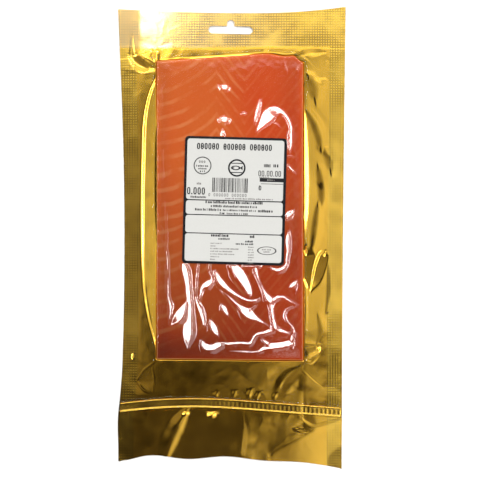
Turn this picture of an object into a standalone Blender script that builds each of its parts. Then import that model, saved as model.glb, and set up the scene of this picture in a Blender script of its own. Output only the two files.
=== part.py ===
"""Sealed flat pack of smoked salmon, lying on its back, built in metres.

The pack is a gold foil back and a clear front film, sealed together round a slab of smoked salmon.
It has a hang slot in its header, a press-to-close strip near its mouth and a label on its front.
+X is the width, +Y points to the header and +Z up, away from the table that the back lies on.

Foil and film are sheets on one grid, whose lines follow the salmon's sides, the folds round it and the strip.
"""

import math

import bmesh
import bpy
from mathutils import Matrix, Vector

# Outline of the pack: each side bows in where the vacuum pulls on it.
LEFT_SIDE = -0.0822
RIGHT_SIDE = 0.0806
LEFT_WAIST = 0.0048
RIGHT_WAIST = 0.0006
RIGHT_LEAN = 0.0088
HALF_LENGTH = 0.1650
TOP_SIDE = 0.1658
TOP_LEAN = 0.0100
TOP_DIP = 0.0040
TOP_DIP_AT = 0.0240
MOUTH_SIDE = -0.1642
MOUTH_LEAN = -0.0403
MOUTH_ARCH = 0.0058
MOUTH_FULLNESS = 0.6
MOUTH_RIPPLE = 0.0020
MOUTH_RIPPLE_LENGTH = 0.0560
MOUTH_RIPPLE_CREST = -0.0580
MOUTH_RIPPLE_START = 0.0150

# The slab of salmon.
SALMON_LEFT = -0.0538
SALMON_RIGHT = 0.0508
SALMON_FOOT = -0.0876
SALMON_FOOT_LEAN = -0.0170
SALMON_HEAD = 0.1304
SALMON_HEAD_LEAN = 0.0650
SALMON_THICKNESS = 0.0046
SALMON_CROWN = 0.0005
SALMON_CROWN_HALF = 0.0560
SALMON_EDGE_ROUND = 0.0012
SALMON_EDGE_DROP = 0.6

# Foil, film, label and the gaps between what touches.
SHEET = 0.0003
GAP = 0.0003

# Folds round the salmon: how far out they stand and how high.
FOLD_MIDDLE = 0.0175
FOLD_HALF_LENGTH = 0.0995
FOLD_FULLNESS = 0.45
LEFT_FOLD = 0.0118
RIGHT_FOLD = 0.0042
HEAD_FOLD = 0.0075
FOOT_FOLD = 0.0150
LEAST_FOLD = 0.0026
LEFT_FOLD_HEIGHT = 0.0021
RIGHT_FOLD_HEIGHT = 0.0016
HEAD_FOLD_HEIGHT = 0.0015
FOOT_FOLD_HEIGHT = 0.0010
FOLD_SETTLE = 0.9
TENT_SAG = 1.5

# Border: the height that it keeps, and the corners and waves that stand off the table.
BORDER_HEIGHT = 0.0006
HEADER_HEIGHT = 0.0016
HEADER_START = 0.1280
HEADER_RISE = 0.0200
HEADER_HALF_WIDTH = 0.1000
STRIP_HEIGHT = 0.0022
STRIP_REACH = 0.0130
MOUTH_WAVE = 0.0009
MOUTH_WAVE_RUN = 0.0350
CORNER_AT = 0.1720
MOUTH_CORNER_LIFT = 0.0062
MOUTH_CORNER_REACH = (0.0340, 0.0300)
HEADER_CORNER_LIFT = 0.0034
RIGHT_CORNER_REACH = (0.0400, 0.0300)
LEFT_CORNER_REACH = (0.0360, 0.0260)

# Press-to-close strip: a tape with a rib along each side.
STRIP_MIDDLE = -0.1197
STRIP_LEAN = -0.0235
STRIP_ARCH = 0.0044
STRIP_SKEW = 0.0010
STRIP_HALF_WIDTH = 0.0034
STRIP_TAPE = 0.0004
RIB_WIDTH = 0.0011
RIB_HEIGHT = 0.0010
RIB_WALL = 0.0001
STRIP_INSET = 0.0012

# Hang slot: a slot with round ends and a notch above its middle.
SLOT_CENTRE = (-0.0010, 0.1499)
SLOT_HALF_LENGTH = 0.0160
SLOT_HALF_HEIGHT = 0.0028
NOTCH_RADIUS = 0.0027
NOTCH_RISE = 0.0046
SLOT_TURN = math.radians(-1.3)
CUTTER_REACH = 0.02
ARC_STEPS = 6

# Label on the front film.
LABEL_CENTRE = (0.0019, 0.0267)
LABEL_SIZE = (0.0731, 0.0913)
LABEL_TURN = math.radians(-1.5)
LABEL_CORNER = 0.0028
CORNER_CUT = 0.29
LABEL_GAP = 0.0001

# Finishes: colour, roughness, how metallic and how solid.
GOLD_FOIL = ((0.80, 0.55, 0.16), 0.25, 1.0)
CLEAR_FILM = ((0.95, 0.93, 0.88), 0.08, 0.0, 0.25)
SMOKED_SALMON = ((0.62, 0.13, 0.03), 0.4, 0.0)
CLEAR_STRIP = ((0.78, 0.60, 0.24), 0.2, 0.0)
LABEL_PAPER = ((0.85, 0.84, 0.82), 0.4, 0.0)
CUTTER_GREY = ((0.5, 0.5, 0.5), 0.5, 0.0)

# Cells of the grid between one named line and the next.
COLUMN_CELLS = (4, 2, 12, 2, 4)
ROW_CELLS = (5, 4, 3, 3, 15, 2, 5)


def arch(along, half):
    """1 in the middle of a span and 0 at its ends."""
    return max(0.0, 1.0 - (along / half) ** 2)


def smooth(t):
    """Runs evenly from 0 to 1 as t does, level at both ends."""
    t = min(1.0, max(0.0, t))
    return t * t * (3.0 - 2.0 * t)


def bell(x, y, centre, reach):
    """A round swelling of height 1 at centre."""
    away = ((x - centre[0]) / reach[0]) ** 2 + ((y - centre[1]) / reach[1]) ** 2
    return math.exp(-away)


# Lines across the pack, each as a height y over the width x.


def mouth_wave(x):
    return math.cos(2.0 * math.pi * (x - MOUTH_RIPPLE_CREST) / MOUTH_RIPPLE_LENGTH)


def mouth_edge(x):
    fading = smooth((x - LEFT_SIDE) / MOUTH_RIPPLE_START) * (0.5 - 0.5 * x / RIGHT_SIDE)
    return (
        MOUTH_SIDE
        + MOUTH_LEAN * x
        + MOUTH_ARCH * arch(x, RIGHT_SIDE) ** MOUTH_FULLNESS
        + MOUTH_RIPPLE * mouth_wave(x) * fading
    )


def strip_middle(x):
    lean = STRIP_LEAN * x - STRIP_SKEW * math.sin(math.pi * x / RIGHT_SIDE)
    return STRIP_MIDDLE + lean - STRIP_ARCH * (x / RIGHT_SIDE) ** 2


def strip_low(x):
    return strip_middle(x) - STRIP_HALF_WIDTH


def strip_high(x):
    return strip_middle(x) + STRIP_HALF_WIDTH


def salmon_foot(x):
    return SALMON_FOOT + SALMON_FOOT_LEAN * x


def salmon_head(x):
    return SALMON_HEAD + SALMON_HEAD_LEAN * x


def foot_fold(x):
    return salmon_foot(x) - FOOT_FOLD


def head_fold(x):
    return salmon_head(x) + HEAD_FOLD


def top_edge(x):
    half = RIGHT_SIDE - TOP_DIP_AT if x > TOP_DIP_AT else TOP_DIP_AT - LEFT_SIDE
    return TOP_SIDE + TOP_LEAN * x - TOP_DIP * arch(x - TOP_DIP_AT, half)


# Lines along the pack, each as a width x over the length y.


def left_edge(y):
    return LEFT_SIDE + LEFT_WAIST * arch(y, HALF_LENGTH)


def right_edge(y):
    return RIGHT_SIDE + RIGHT_LEAN * y - RIGHT_WAIST * arch(y, HALF_LENGTH)


def along_salmon(y):
    """0 at the salmon's foot and head, and beyond them, and 1 half way between."""
    middle = (SALMON_HEAD + SALMON_FOOT) / 2.0
    return arch(y - middle, (SALMON_HEAD - SALMON_FOOT) / 2.0)


def fold_width(widest, y):
    """How far a side's fold stands off the salmon, widest half way along."""
    share = arch(y - FOLD_MIDDLE, FOLD_HALF_LENGTH) ** FOLD_FULLNESS
    return LEAST_FOLD + (widest - LEAST_FOLD) * share


def left_fold(y):
    return SALMON_LEFT - fold_width(LEFT_FOLD, y)


def right_fold(y):
    return SALMON_RIGHT + fold_width(RIGHT_FOLD, y)


def salmon_left(y):
    return SALMON_LEFT


def salmon_right(y):
    return SALMON_RIGHT


COLUMNS = (left_edge, left_fold, salmon_left, salmon_right, right_fold, right_edge)
ROWS = (mouth_edge, strip_low, strip_high, foot_fold, salmon_foot, salmon_head, head_fold, top_edge)


def stations(cells):
    """(span, share) of each grid line: which pair of named lines it lies between, and how far along."""
    found = [(0, 0.0)]
    for span, count in enumerate(cells):
        found += [(span, (step + 1) / count) for step in range(count)]
    return found


def between(lines, station, at):
    """Where a grid line lies, between its two named lines."""
    span, share = station
    return lines[span](at) * (1.0 - share) + lines[span + 1](at) * share


def grid_points(columns, rows):
    """Plan position (x, y) of each crossing, row by row from the mouth."""
    points = []
    for row in rows:
        flat_y = between(ROWS, row, 0.0)
        for column in columns:
            x = between(COLUMNS, column, flat_y)
            points.append((x, between(ROWS, row, x)))
    return points


# Heights.


def out_of_salmon(x, y):
    """How far outside the salmon a point is, where 1 is the fold round it, and that fold's height."""
    if x < SALMON_LEFT:
        across, side_height = (SALMON_LEFT - x) / (SALMON_LEFT - left_fold(y)), LEFT_FOLD_HEIGHT
    else:
        across, side_height = (x - SALMON_RIGHT) / (right_fold(y) - SALMON_RIGHT), RIGHT_FOLD_HEIGHT
    if y < salmon_foot(x):
        along, end_height = (salmon_foot(x) - y) / FOOT_FOLD, FOOT_FOLD_HEIGHT
    else:
        along, end_height = (y - salmon_head(x)) / HEAD_FOLD, HEAD_FOLD_HEIGHT
    across, along = max(0.0, across), max(0.0, along)
    out = math.hypot(across, along)
    share = across / (across + along) if out > 0.0 else 0.5
    return out, side_height * share + end_height * (1.0 - share)


def border_height(x, y):
    """Height of the border's underside away from the folds."""
    to_strip = (y - strip_middle(x)) / STRIP_REACH
    to_mouth = smooth((strip_middle(x) - y) / MOUTH_WAVE_RUN)
    to_header = smooth((y - HEADER_START) / HEADER_RISE)
    return (
        BORDER_HEIGHT
        + STRIP_HEIGHT * math.exp(-to_strip * to_strip)
        + HEADER_HEIGHT * to_header * arch(x, HEADER_HALF_WIDTH)
        + MOUTH_WAVE * to_mouth * (1.0 + mouth_wave(x))
        + MOUTH_CORNER_LIFT * bell(x, y, (right_edge(y), -CORNER_AT), MOUTH_CORNER_REACH)
        + HEADER_CORNER_LIFT * bell(x, y, (right_edge(y), CORNER_AT), RIGHT_CORNER_REACH)
        + HEADER_CORNER_LIFT * bell(x, y, (left_edge(y), CORNER_AT), LEFT_CORNER_REACH)
    )


def back_under(x, y):
    """Height of the foil's underside: flat on the table below the salmon, up to the fold, then the border."""
    out, fold_height = out_of_salmon(x, y)
    if out <= 0.0:
        return 0.0
    border = border_height(x, y)
    if out < 1.0:
        return max(fold_height, border) * smooth(out)
    settle = math.exp(-(out - 1.0) * FOLD_SETTLE)
    return border + max(0.0, fold_height - border) * settle


def crown(x, y):
    """How far the slab swells above its edges' height."""
    return SALMON_CROWN * arch(x, SALMON_CROWN_HALF) * along_salmon(y)


def salmon_top(x, y):
    """Height of the slab's upper face, rounded off at its sides."""
    inset = min(x - SALMON_LEFT, SALMON_RIGHT - x, y - salmon_foot(x), salmon_head(x) - y)
    round_off = 1.0 - min(1.0, max(0.0, inset) / SALMON_EDGE_ROUND)
    drop = SALMON_EDGE_ROUND * (1.0 - math.sqrt(max(0.0, 1.0 - round_off * round_off)))
    return SHEET + GAP + SALMON_THICKNESS + crown(x, y) - SALMON_EDGE_DROP * drop


def strip_under(x):
    """Height of the press-to-close strip's underside, on the foil."""
    return back_under(x, strip_middle(x)) + SHEET + GAP


def film_under(x, y):
    """Height of the clear film's underside: over the salmon, down to the fold, then on the foil or the strip."""
    out, _ = out_of_salmon(x, y)
    on_foil = back_under(x, y) + SHEET + GAP
    off_strip = smooth((abs(y - strip_middle(x)) - STRIP_HALF_WIDTH) / STRIP_HALF_WIDTH)
    on_strip = strip_under(x) + STRIP_TAPE + RIB_HEIGHT + GAP
    on_foil = on_strip + (on_foil - on_strip) * off_strip
    if out >= 1.0:
        return on_foil
    edge = SHEET + GAP + SALMON_THICKNESS + GAP
    if out <= 0.0:
        return max(edge, salmon_top(x, y) + GAP)
    return on_foil + max(0.0, edge - on_foil) * (1.0 - out) ** TENT_SAG


# Modelling.


def new_object(name, mesh_builder, material):
    """One named object from a bmesh, with its faces outwards and its material."""
    mesh = bpy.data.meshes.new(name)
    mesh_builder.normal_update()
    mesh_builder.to_mesh(mesh)
    mesh_builder.free()
    mesh.materials.append(material)
    made = bpy.data.objects.new(name, mesh)
    bpy.context.scene.collection.objects.link(made)
    return made


def plate(points, across, top, under):
    """A closed plate over a grid of plan positions, between the heights that top and under give."""
    rows = len(points) // across
    made = bmesh.new()
    bmesh.ops.create_grid(made, x_segments=across - 1, y_segments=rows - 1, size=1.0)
    made.verts.ensure_lookup_table()
    order = sorted(made.verts, key=lambda v: (round(v.co.y, 5), round(v.co.x, 5)))
    for vertex, (x, y) in zip(order, points):
        vertex.co = Vector((x, y, top(x, y)))
    extruded = bmesh.ops.extrude_face_region(made, geom=list(made.faces))
    for vertex in (v for v in extruded["geom"] if isinstance(v, bmesh.types.BMVert)):
        vertex.co.z = under(vertex.co.x, vertex.co.y)
    bmesh.ops.recalc_face_normals(made, faces=made.faces)
    return made


def finish(name, colour, roughness, metallic, alpha=1.0):
    """A Principled material."""
    made = bpy.data.materials.new(name)
    made.use_nodes = True
    shader = made.node_tree.nodes["Principled BSDF"]
    shader.inputs["Base Color"].default_value = (*colour, 1.0)
    shader.inputs["Roughness"].default_value = roughness
    shader.inputs["Metallic"].default_value = metallic
    shader.inputs["Alpha"].default_value = alpha
    return made


def slot_cutter():
    """The hang slot's outline as a prism that runs past both faces of the header."""
    ring = []
    for side in (1, -1):
        for step in range(ARC_STEPS + 1):
            turn = math.pi * (step / ARC_STEPS - 0.5)
            x = side * (SLOT_HALF_LENGTH - SLOT_HALF_HEIGHT + SLOT_HALF_HEIGHT * math.cos(turn))
            ring.append((x, side * SLOT_HALF_HEIGHT * math.sin(turn)))
        if side > 0:
            for step in range(ARC_STEPS + 1):
                turn = math.pi * step / ARC_STEPS
                x = NOTCH_RADIUS * math.cos(turn)
                ring.append((x, NOTCH_RISE + NOTCH_RADIUS * math.sin(turn)))
            ring.insert(-(ARC_STEPS + 1), (NOTCH_RADIUS, SLOT_HALF_HEIGHT))
            ring.append((-NOTCH_RADIUS, SLOT_HALF_HEIGHT))
    made = bmesh.new()
    foot = [made.verts.new((x, y, -CUTTER_REACH)) for x, y in ring]
    face = made.faces.new(foot)
    raised = bmesh.ops.extrude_face_region(made, geom=[face])["geom"]
    bmesh.ops.translate(
        made,
        vec=(0.0, 0.0, 2.0 * CUTTER_REACH),
        verts=[v for v in raised if isinstance(v, bmesh.types.BMVert)],
    )
    bmesh.ops.recalc_face_normals(made, faces=made.faces)
    made.transform(Matrix.Translation((*SLOT_CENTRE, 0.0)) @ Matrix.Rotation(SLOT_TURN, 4, "Z"))
    cutter = new_object("slot_cutter", made, finish("cutter", *CUTTER_GREY))
    cutter.hide_render = True
    cutter.display_type = "WIRE"
    return cutter


def cut(target, cutter):
    """Opens target where the cutter runs through it."""
    boolean = target.modifiers.new("hang_slot", "BOOLEAN")
    boolean.operation = "DIFFERENCE"
    boolean.object = cutter


def sheets():
    """The gold foil and the clear film, on the same grid."""
    columns, rows = stations(COLUMN_CELLS), stations(ROW_CELLS)
    points = grid_points(columns, rows)
    across = len(columns)
    cutter = slot_cutter()
    foil = new_object(
        "gold_foil_back",
        plate(points, across, lambda x, y: back_under(x, y) + SHEET, back_under),
        finish("gold_foil", *GOLD_FOIL),
    )
    film = new_object(
        "clear_film_front",
        plate(points, across, lambda x, y: film_under(x, y) + SHEET, film_under),
        finish("clear_film", *CLEAR_FILM),
    )
    for sheet in (foil, film):
        cut(sheet, cutter)


def salmon():
    """The slab, inside the folds, on the foil."""
    inner_columns = [(2, step / COLUMN_CELLS[2]) for step in range(COLUMN_CELLS[2] + 1)]
    inner_rows = [(4, step / ROW_CELLS[4]) for step in range(ROW_CELLS[4] + 1)]
    rim = SALMON_EDGE_ROUND / (SALMON_RIGHT - SALMON_LEFT)
    inner_columns = sorted(inner_columns + [(2, rim), (2, 1.0 - rim)])
    rim = SALMON_EDGE_ROUND / (SALMON_HEAD - SALMON_FOOT)
    inner_rows = sorted(inner_rows + [(4, rim), (4, 1.0 - rim)])
    points = grid_points(inner_columns, inner_rows)
    new_object(
        "smoked_salmon",
        plate(points, len(inner_columns), salmon_top, lambda x, y: SHEET + GAP),
        finish("smoked_salmon", *SMOKED_SALMON),
    )


def press_strip():
    """The press-to-close strip, between foil and film."""
    xs = [between(COLUMNS, column, STRIP_MIDDLE) for column in stations(COLUMN_CELLS)]
    xs = [max(xs[0] + STRIP_INSET, min(xs[-1] - STRIP_INSET, x)) for x in xs]
    inner = STRIP_HALF_WIDTH - RIB_WIDTH
    offsets = (-STRIP_HALF_WIDTH, -inner, RIB_WALL - inner, inner - RIB_WALL, inner, STRIP_HALF_WIDTH)
    points = [(x, strip_middle(x) + off) for off in offsets for x in xs]

    def top(x, y):
        on_rib = abs(y - strip_middle(x)) > inner - RIB_WALL / 2.0
        return strip_under(x) + STRIP_TAPE + (RIB_HEIGHT if on_rib else 0.0)

    new_object(
        "press_close_strip",
        plate(points, len(xs), top, lambda x, y: strip_under(x)),
        finish("clear_strip", *CLEAR_STRIP),
    )


def label():
    """The paper label, laid on the film over the salmon."""
    half_width, half_height = LABEL_SIZE[0] / 2.0, LABEL_SIZE[1] / 2.0
    stops_x = [-half_width, -half_width + LABEL_CORNER, -half_width / 2, 0.0]
    stops_x += [-x for x in reversed(stops_x[:-1])]
    stops_y = [-half_height, -half_height + LABEL_CORNER, -half_height / 2, 0.0]
    stops_y += [-y for y in reversed(stops_y[:-1])]
    turn = Matrix.Rotation(LABEL_TURN, 2)
    points = []
    for y in stops_y:
        for x in stops_x:
            at_corner = abs(x) == half_width and abs(y) == half_height
            pull = 1.0 - CORNER_CUT * LABEL_CORNER / half_width if at_corner else 1.0
            lift = 1.0 - CORNER_CUT * LABEL_CORNER / half_height if at_corner else 1.0
            placed = turn @ Vector((x * pull, y * lift))
            points.append((placed.x + LABEL_CENTRE[0], placed.y + LABEL_CENTRE[1]))
    crest = SHEET + GAP + SALMON_THICKNESS + GAP + SHEET + GAP + LABEL_GAP

    def under(x, y):
        return crest + crown(x, y)

    new_object(
        "label",
        plate(points, len(stops_x), lambda x, y: under(x, y) + SHEET, under),
        finish("label", *LABEL_PAPER),
    )


def main():
    for old in list(bpy.data.objects):
        bpy.data.objects.remove(old)
    sheets()
    salmon()
    press_strip()
    label()


main()
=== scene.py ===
"""Looks of a flat sealed pack of smoked salmon: gold foil, clear film, fish, label and press-to-close strip.

The pouch lies on its back with its clear front up. +X is its width, +Y points to the header with the hang
slot and +Z is up. Lengths are in metres; those called mm are in millimetres and are multiplied by MM.
"""

import logging
import math
import random
from dataclasses import dataclass, field
from enum import Enum
from functools import reduce
from typing import Callable, Sequence

import bmesh
import bpy
import numpy as np
from mathutils import Matrix, Vector


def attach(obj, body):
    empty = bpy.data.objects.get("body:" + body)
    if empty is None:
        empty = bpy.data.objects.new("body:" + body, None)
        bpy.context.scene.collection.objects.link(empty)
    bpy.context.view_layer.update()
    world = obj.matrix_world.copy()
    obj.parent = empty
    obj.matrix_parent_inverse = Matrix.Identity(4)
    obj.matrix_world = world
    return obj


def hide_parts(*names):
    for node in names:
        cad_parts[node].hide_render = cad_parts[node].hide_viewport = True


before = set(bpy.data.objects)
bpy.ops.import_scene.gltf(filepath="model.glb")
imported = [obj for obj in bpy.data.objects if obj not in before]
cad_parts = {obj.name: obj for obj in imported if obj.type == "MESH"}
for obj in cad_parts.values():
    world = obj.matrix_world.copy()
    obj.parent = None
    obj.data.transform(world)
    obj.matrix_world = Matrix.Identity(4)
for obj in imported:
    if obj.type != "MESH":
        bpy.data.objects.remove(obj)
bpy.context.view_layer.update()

MM = 0.001
LOG = logging.getLogger("salmon_pack")
LIT_SLOPE = 0.222
LIT_DRIFT = 0.62
HEADER_LEAN = 0.25
LEAST = 1e-9
SHARP_ANGLE = math.radians(60.0)
FULL_TURN = 2.0 * math.pi

Array = np.ndarray
Mesh = bmesh.types.BMesh
Socket = bpy.types.NodeSocket
Tree = bpy.types.NodeTree
Material = bpy.types.Material
Point = tuple[float, float]
Knot = tuple[float, float, float]
Colour = tuple[float, float, float]
Field = Callable[[Array, Array], Array]
Line = Callable[[Array], Array]
GridVertex = tuple[bmesh.types.BMVert, int, int]


class Side(Enum):
    """Which way a facet in a sheet faces, seen along its path."""

    LEFT = 1.0
    RIGHT = -1.0
    HEADER = 0.0


def arch(along: Array, half: float) -> Array:
    """Rises from 0 at the ends of a span to 1 in its middle."""
    return np.clip(1.0 - (np.asarray(along) / half) ** 2, 0.0, 1.0)


def smooth(share: Array) -> Array:
    """Runs evenly from 0 to 1 as share does, level at both ends."""
    share = np.clip(share, 0.0, 1.0)
    return share * share * (3.0 - 2.0 * share)


# ---------------------------------------------------------------- plan of the pouch


@dataclass(frozen=True)
class Plan:
    """Plan lines of the pouch: its outline, the slab, the folds round the slab and the strip."""

    left_side: float = -0.0822
    right_side: float = 0.0806
    left_waist: float = 0.0048
    left_flare: float = 0.0019
    flare_at: float = -0.1280
    flare_reach: float = 0.0190
    right_waist: float = 0.0006
    right_lean: float = 0.0088
    half_length: float = 0.1650
    top_side: float = 0.1658
    top_lean: float = 0.0100
    top_dip: float = 0.0040
    top_dip_at: float = 0.0240
    mouth_side: float = -0.1642
    mouth_lean: float = -0.0403
    mouth_arch: float = 0.0058
    mouth_fullness: float = 0.6
    mouth_ripple: float = 0.0020
    ripple_length: float = 0.0560
    ripple_crest: float = -0.0580
    ripple_start: float = 0.0150
    salmon_left: float = -0.0538
    salmon_right: float = 0.0508
    salmon_foot_at: float = -0.0871
    foot_lean: float = -0.0110
    salmon_head_at: float = 0.1304
    head_lean: float = 0.0650
    head_dip: float = 0.0027
    head_dip_from: float = 0.0240
    head_dip_length: float = 0.0150
    corner_drop: float = 0.0050
    corner_length: float = 0.0070
    fold_middle: float = 0.0175
    fold_half: float = 0.0995
    fold_fullness: float = 0.45
    left_fold_width: float = 0.0118
    right_fold_width: float = 0.0042
    head_fold_width: float = 0.0075
    foot_fold_width: float = 0.0150
    least_fold: float = 0.0026
    strip_at: float = -0.1197
    strip_lean: float = -0.0235
    strip_arch: float = 0.0044
    strip_skew: float = 0.0010
    strip_half: float = 0.0034

    def mouth_wave(self, x: Array) -> Array:
        """The mouth's ripple across the width, from -1 to 1."""
        return np.cos(FULL_TURN * (x - self.ripple_crest) / self.ripple_length)

    def mouth_edge(self, x: Array) -> Array:
        """Place along the pouch of the open end's edge."""
        fading = smooth((x - self.left_side) / self.ripple_start) * (0.5 - 0.5 * x / self.right_side)
        bow = self.mouth_arch * arch(x, self.right_side) ** self.mouth_fullness
        return self.mouth_side + self.mouth_lean * x + bow + self.mouth_ripple * self.mouth_wave(x) * fading

    def strip_middle(self, x: Array) -> Array:
        """Middle line of the press-to-close strip."""
        lean = self.strip_lean * x - self.strip_skew * np.sin(math.pi * x / self.right_side)
        return self.strip_at + lean - self.strip_arch * (x / self.right_side) ** 2

    def strip_low(self, x: Array) -> Array:
        """Edge of the strip that is nearer the mouth."""
        return self.strip_middle(x) - self.strip_half

    def strip_high(self, x: Array) -> Array:
        """Edge of the strip that is nearer the fish."""
        return self.strip_middle(x) + self.strip_half

    def salmon_foot(self, x: Array) -> Array:
        """The slab's edge nearer the mouth."""
        return self.salmon_foot_at + self.foot_lean * x

    def salmon_head(self, x: Array) -> Array:
        """The slab's edge nearer the header, which falls to its right corner."""
        dip = self.head_dip * smooth((x - self.head_dip_from) / self.head_dip_length)
        corner = self.corner_drop * smooth((x - self.salmon_right) / self.corner_length + 1.0)
        return self.salmon_head_at + self.head_lean * x - dip - corner

    def foot_fold(self, x: Array) -> Array:
        """Where the foil's rise past the slab's foot ends."""
        return self.salmon_foot(x) - self.foot_fold_width

    def head_fold(self, x: Array) -> Array:
        """Where the foil's rise past the slab's head ends."""
        return self.salmon_head(x) + self.head_fold_width

    def top_edge(self, x: Array) -> Array:
        """Edge of the header, which dips between its corners."""
        dip = self.top_dip_at
        half = np.where(x > dip, self.right_side - dip, dip - self.left_side)
        return self.top_side + self.top_lean * x - self.top_dip * arch(x - dip, half)

    def left_edge(self, y: Array) -> Array:
        """Left side of the pouch, which flares a little by the strip."""
        off = (y - self.flare_at) / self.flare_reach
        waist = self.left_waist * arch(y, self.half_length)
        return self.left_side + waist - self.left_flare * np.exp(-off * off)

    def right_edge(self, y: Array) -> Array:
        """Right side of the pouch."""
        return self.right_side + self.right_lean * y - self.right_waist * arch(y, self.half_length)

    def fold_width(self, widest: float, y: Array) -> Array:
        """How far a side's fold stands off the slab."""
        share = arch(y - self.fold_middle, self.fold_half) ** self.fold_fullness
        return self.least_fold + (widest - self.least_fold) * share

    def left_fold(self, y: Array) -> Array:
        """Line of the fold left of the slab."""
        return self.salmon_left - self.fold_width(self.left_fold_width, y)

    def right_fold(self, y: Array) -> Array:
        """Line of the fold right of the slab."""
        return self.salmon_right + self.fold_width(self.right_fold_width, y)

    def past_edges(self, x: Array, y: Array) -> tuple[Array, Array]:
        """Distances past the slab's sides and past its ends, below 0 on its inner side.

        Args:
            x: Places across the pouch.
            y: Places along it.

        Returns:
            The distances across and along.
        """
        across = np.maximum(self.salmon_left - x, x - self.salmon_right)
        along = np.maximum(self.salmon_foot(x) - y, y - self.salmon_head(x))
        return across, along

    def outside_slab(self, x: Array, y: Array) -> Array:
        """Distance from the slab's outline, 0 over the slab."""
        across, along = self.past_edges(x, y)
        return np.hypot(np.maximum(across, 0.0), np.maximum(along, 0.0))

    def off_outline(self, x: Array, y: Array) -> Array:
        """Distance from the slab's outline, below 0 over the slab."""
        inside = np.maximum(*self.past_edges(x, y))
        return np.where(inside < 0.0, inside, self.outside_slab(x, y))

    def columns(self) -> tuple[Line, ...]:
        """Named lines along the pouch, from left to right."""
        return (
            self.left_edge,
            self.left_fold,
            lambda y: self.salmon_left + 0.0 * y,
            lambda y: self.salmon_right + 0.0 * y,
            self.right_fold,
            self.right_edge,
        )

    def rows(self) -> tuple[Line, ...]:
        """Named lines across the pouch, from the mouth to the header."""
        return (
            self.mouth_edge,
            self.strip_low,
            self.strip_high,
            self.foot_fold,
            self.salmon_foot,
            self.salmon_head,
            self.head_fold,
            self.top_edge,
        )


PLAN = Plan()


def stations(cells: Sequence[int]) -> list[tuple[int, float]]:
    """Grid lines between named lines.

    Args:
        cells: How many cells lie between each named line and the next.

    Returns:
        For each grid line, the span that it lies in and how far along that span.
    """
    found = [(0, 0.0)]
    for span, count in enumerate(cells):
        found += [(span, (step + 1) / count) for step in range(count)]
    return found


def between(lines: Sequence[Line], station: tuple[int, float], at: Array) -> Array:
    """Where a grid line lies."""
    span, share = station
    return lines[span](at) * (1.0 - share) + lines[span + 1](at) * share


# ---------------------------------------------------------------- relief of the sheets


def through(knots: Sequence[Knot], steps: int = 6) -> Array:
    """A smooth line through a few knots.

    Args:
        knots: Places across and along the pouch and a width at each, in mm.
        steps: Pieces between one knot and the next.

    Returns:
        Points of the line and their widths in metres, one a row.
    """
    given = np.array(knots, float) * MM
    ends = np.vstack([2 * given[0] - given[1], given, 2 * given[-1] - given[-2]])
    line = []
    for a, b, c, d in zip(ends, ends[1:], ends[2:], ends[3:]):
        for t in np.arange(steps) / steps:
            square, cube = t * t, t * t * t
            bent = 2 * b + (c - a) * t + (2 * a - 5 * b + 4 * c - d) * square
            line.append(0.5 * (bent + (3 * b - a - 3 * c + d) * cube))
    line.append(given[-1])
    return np.array(line)


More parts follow.
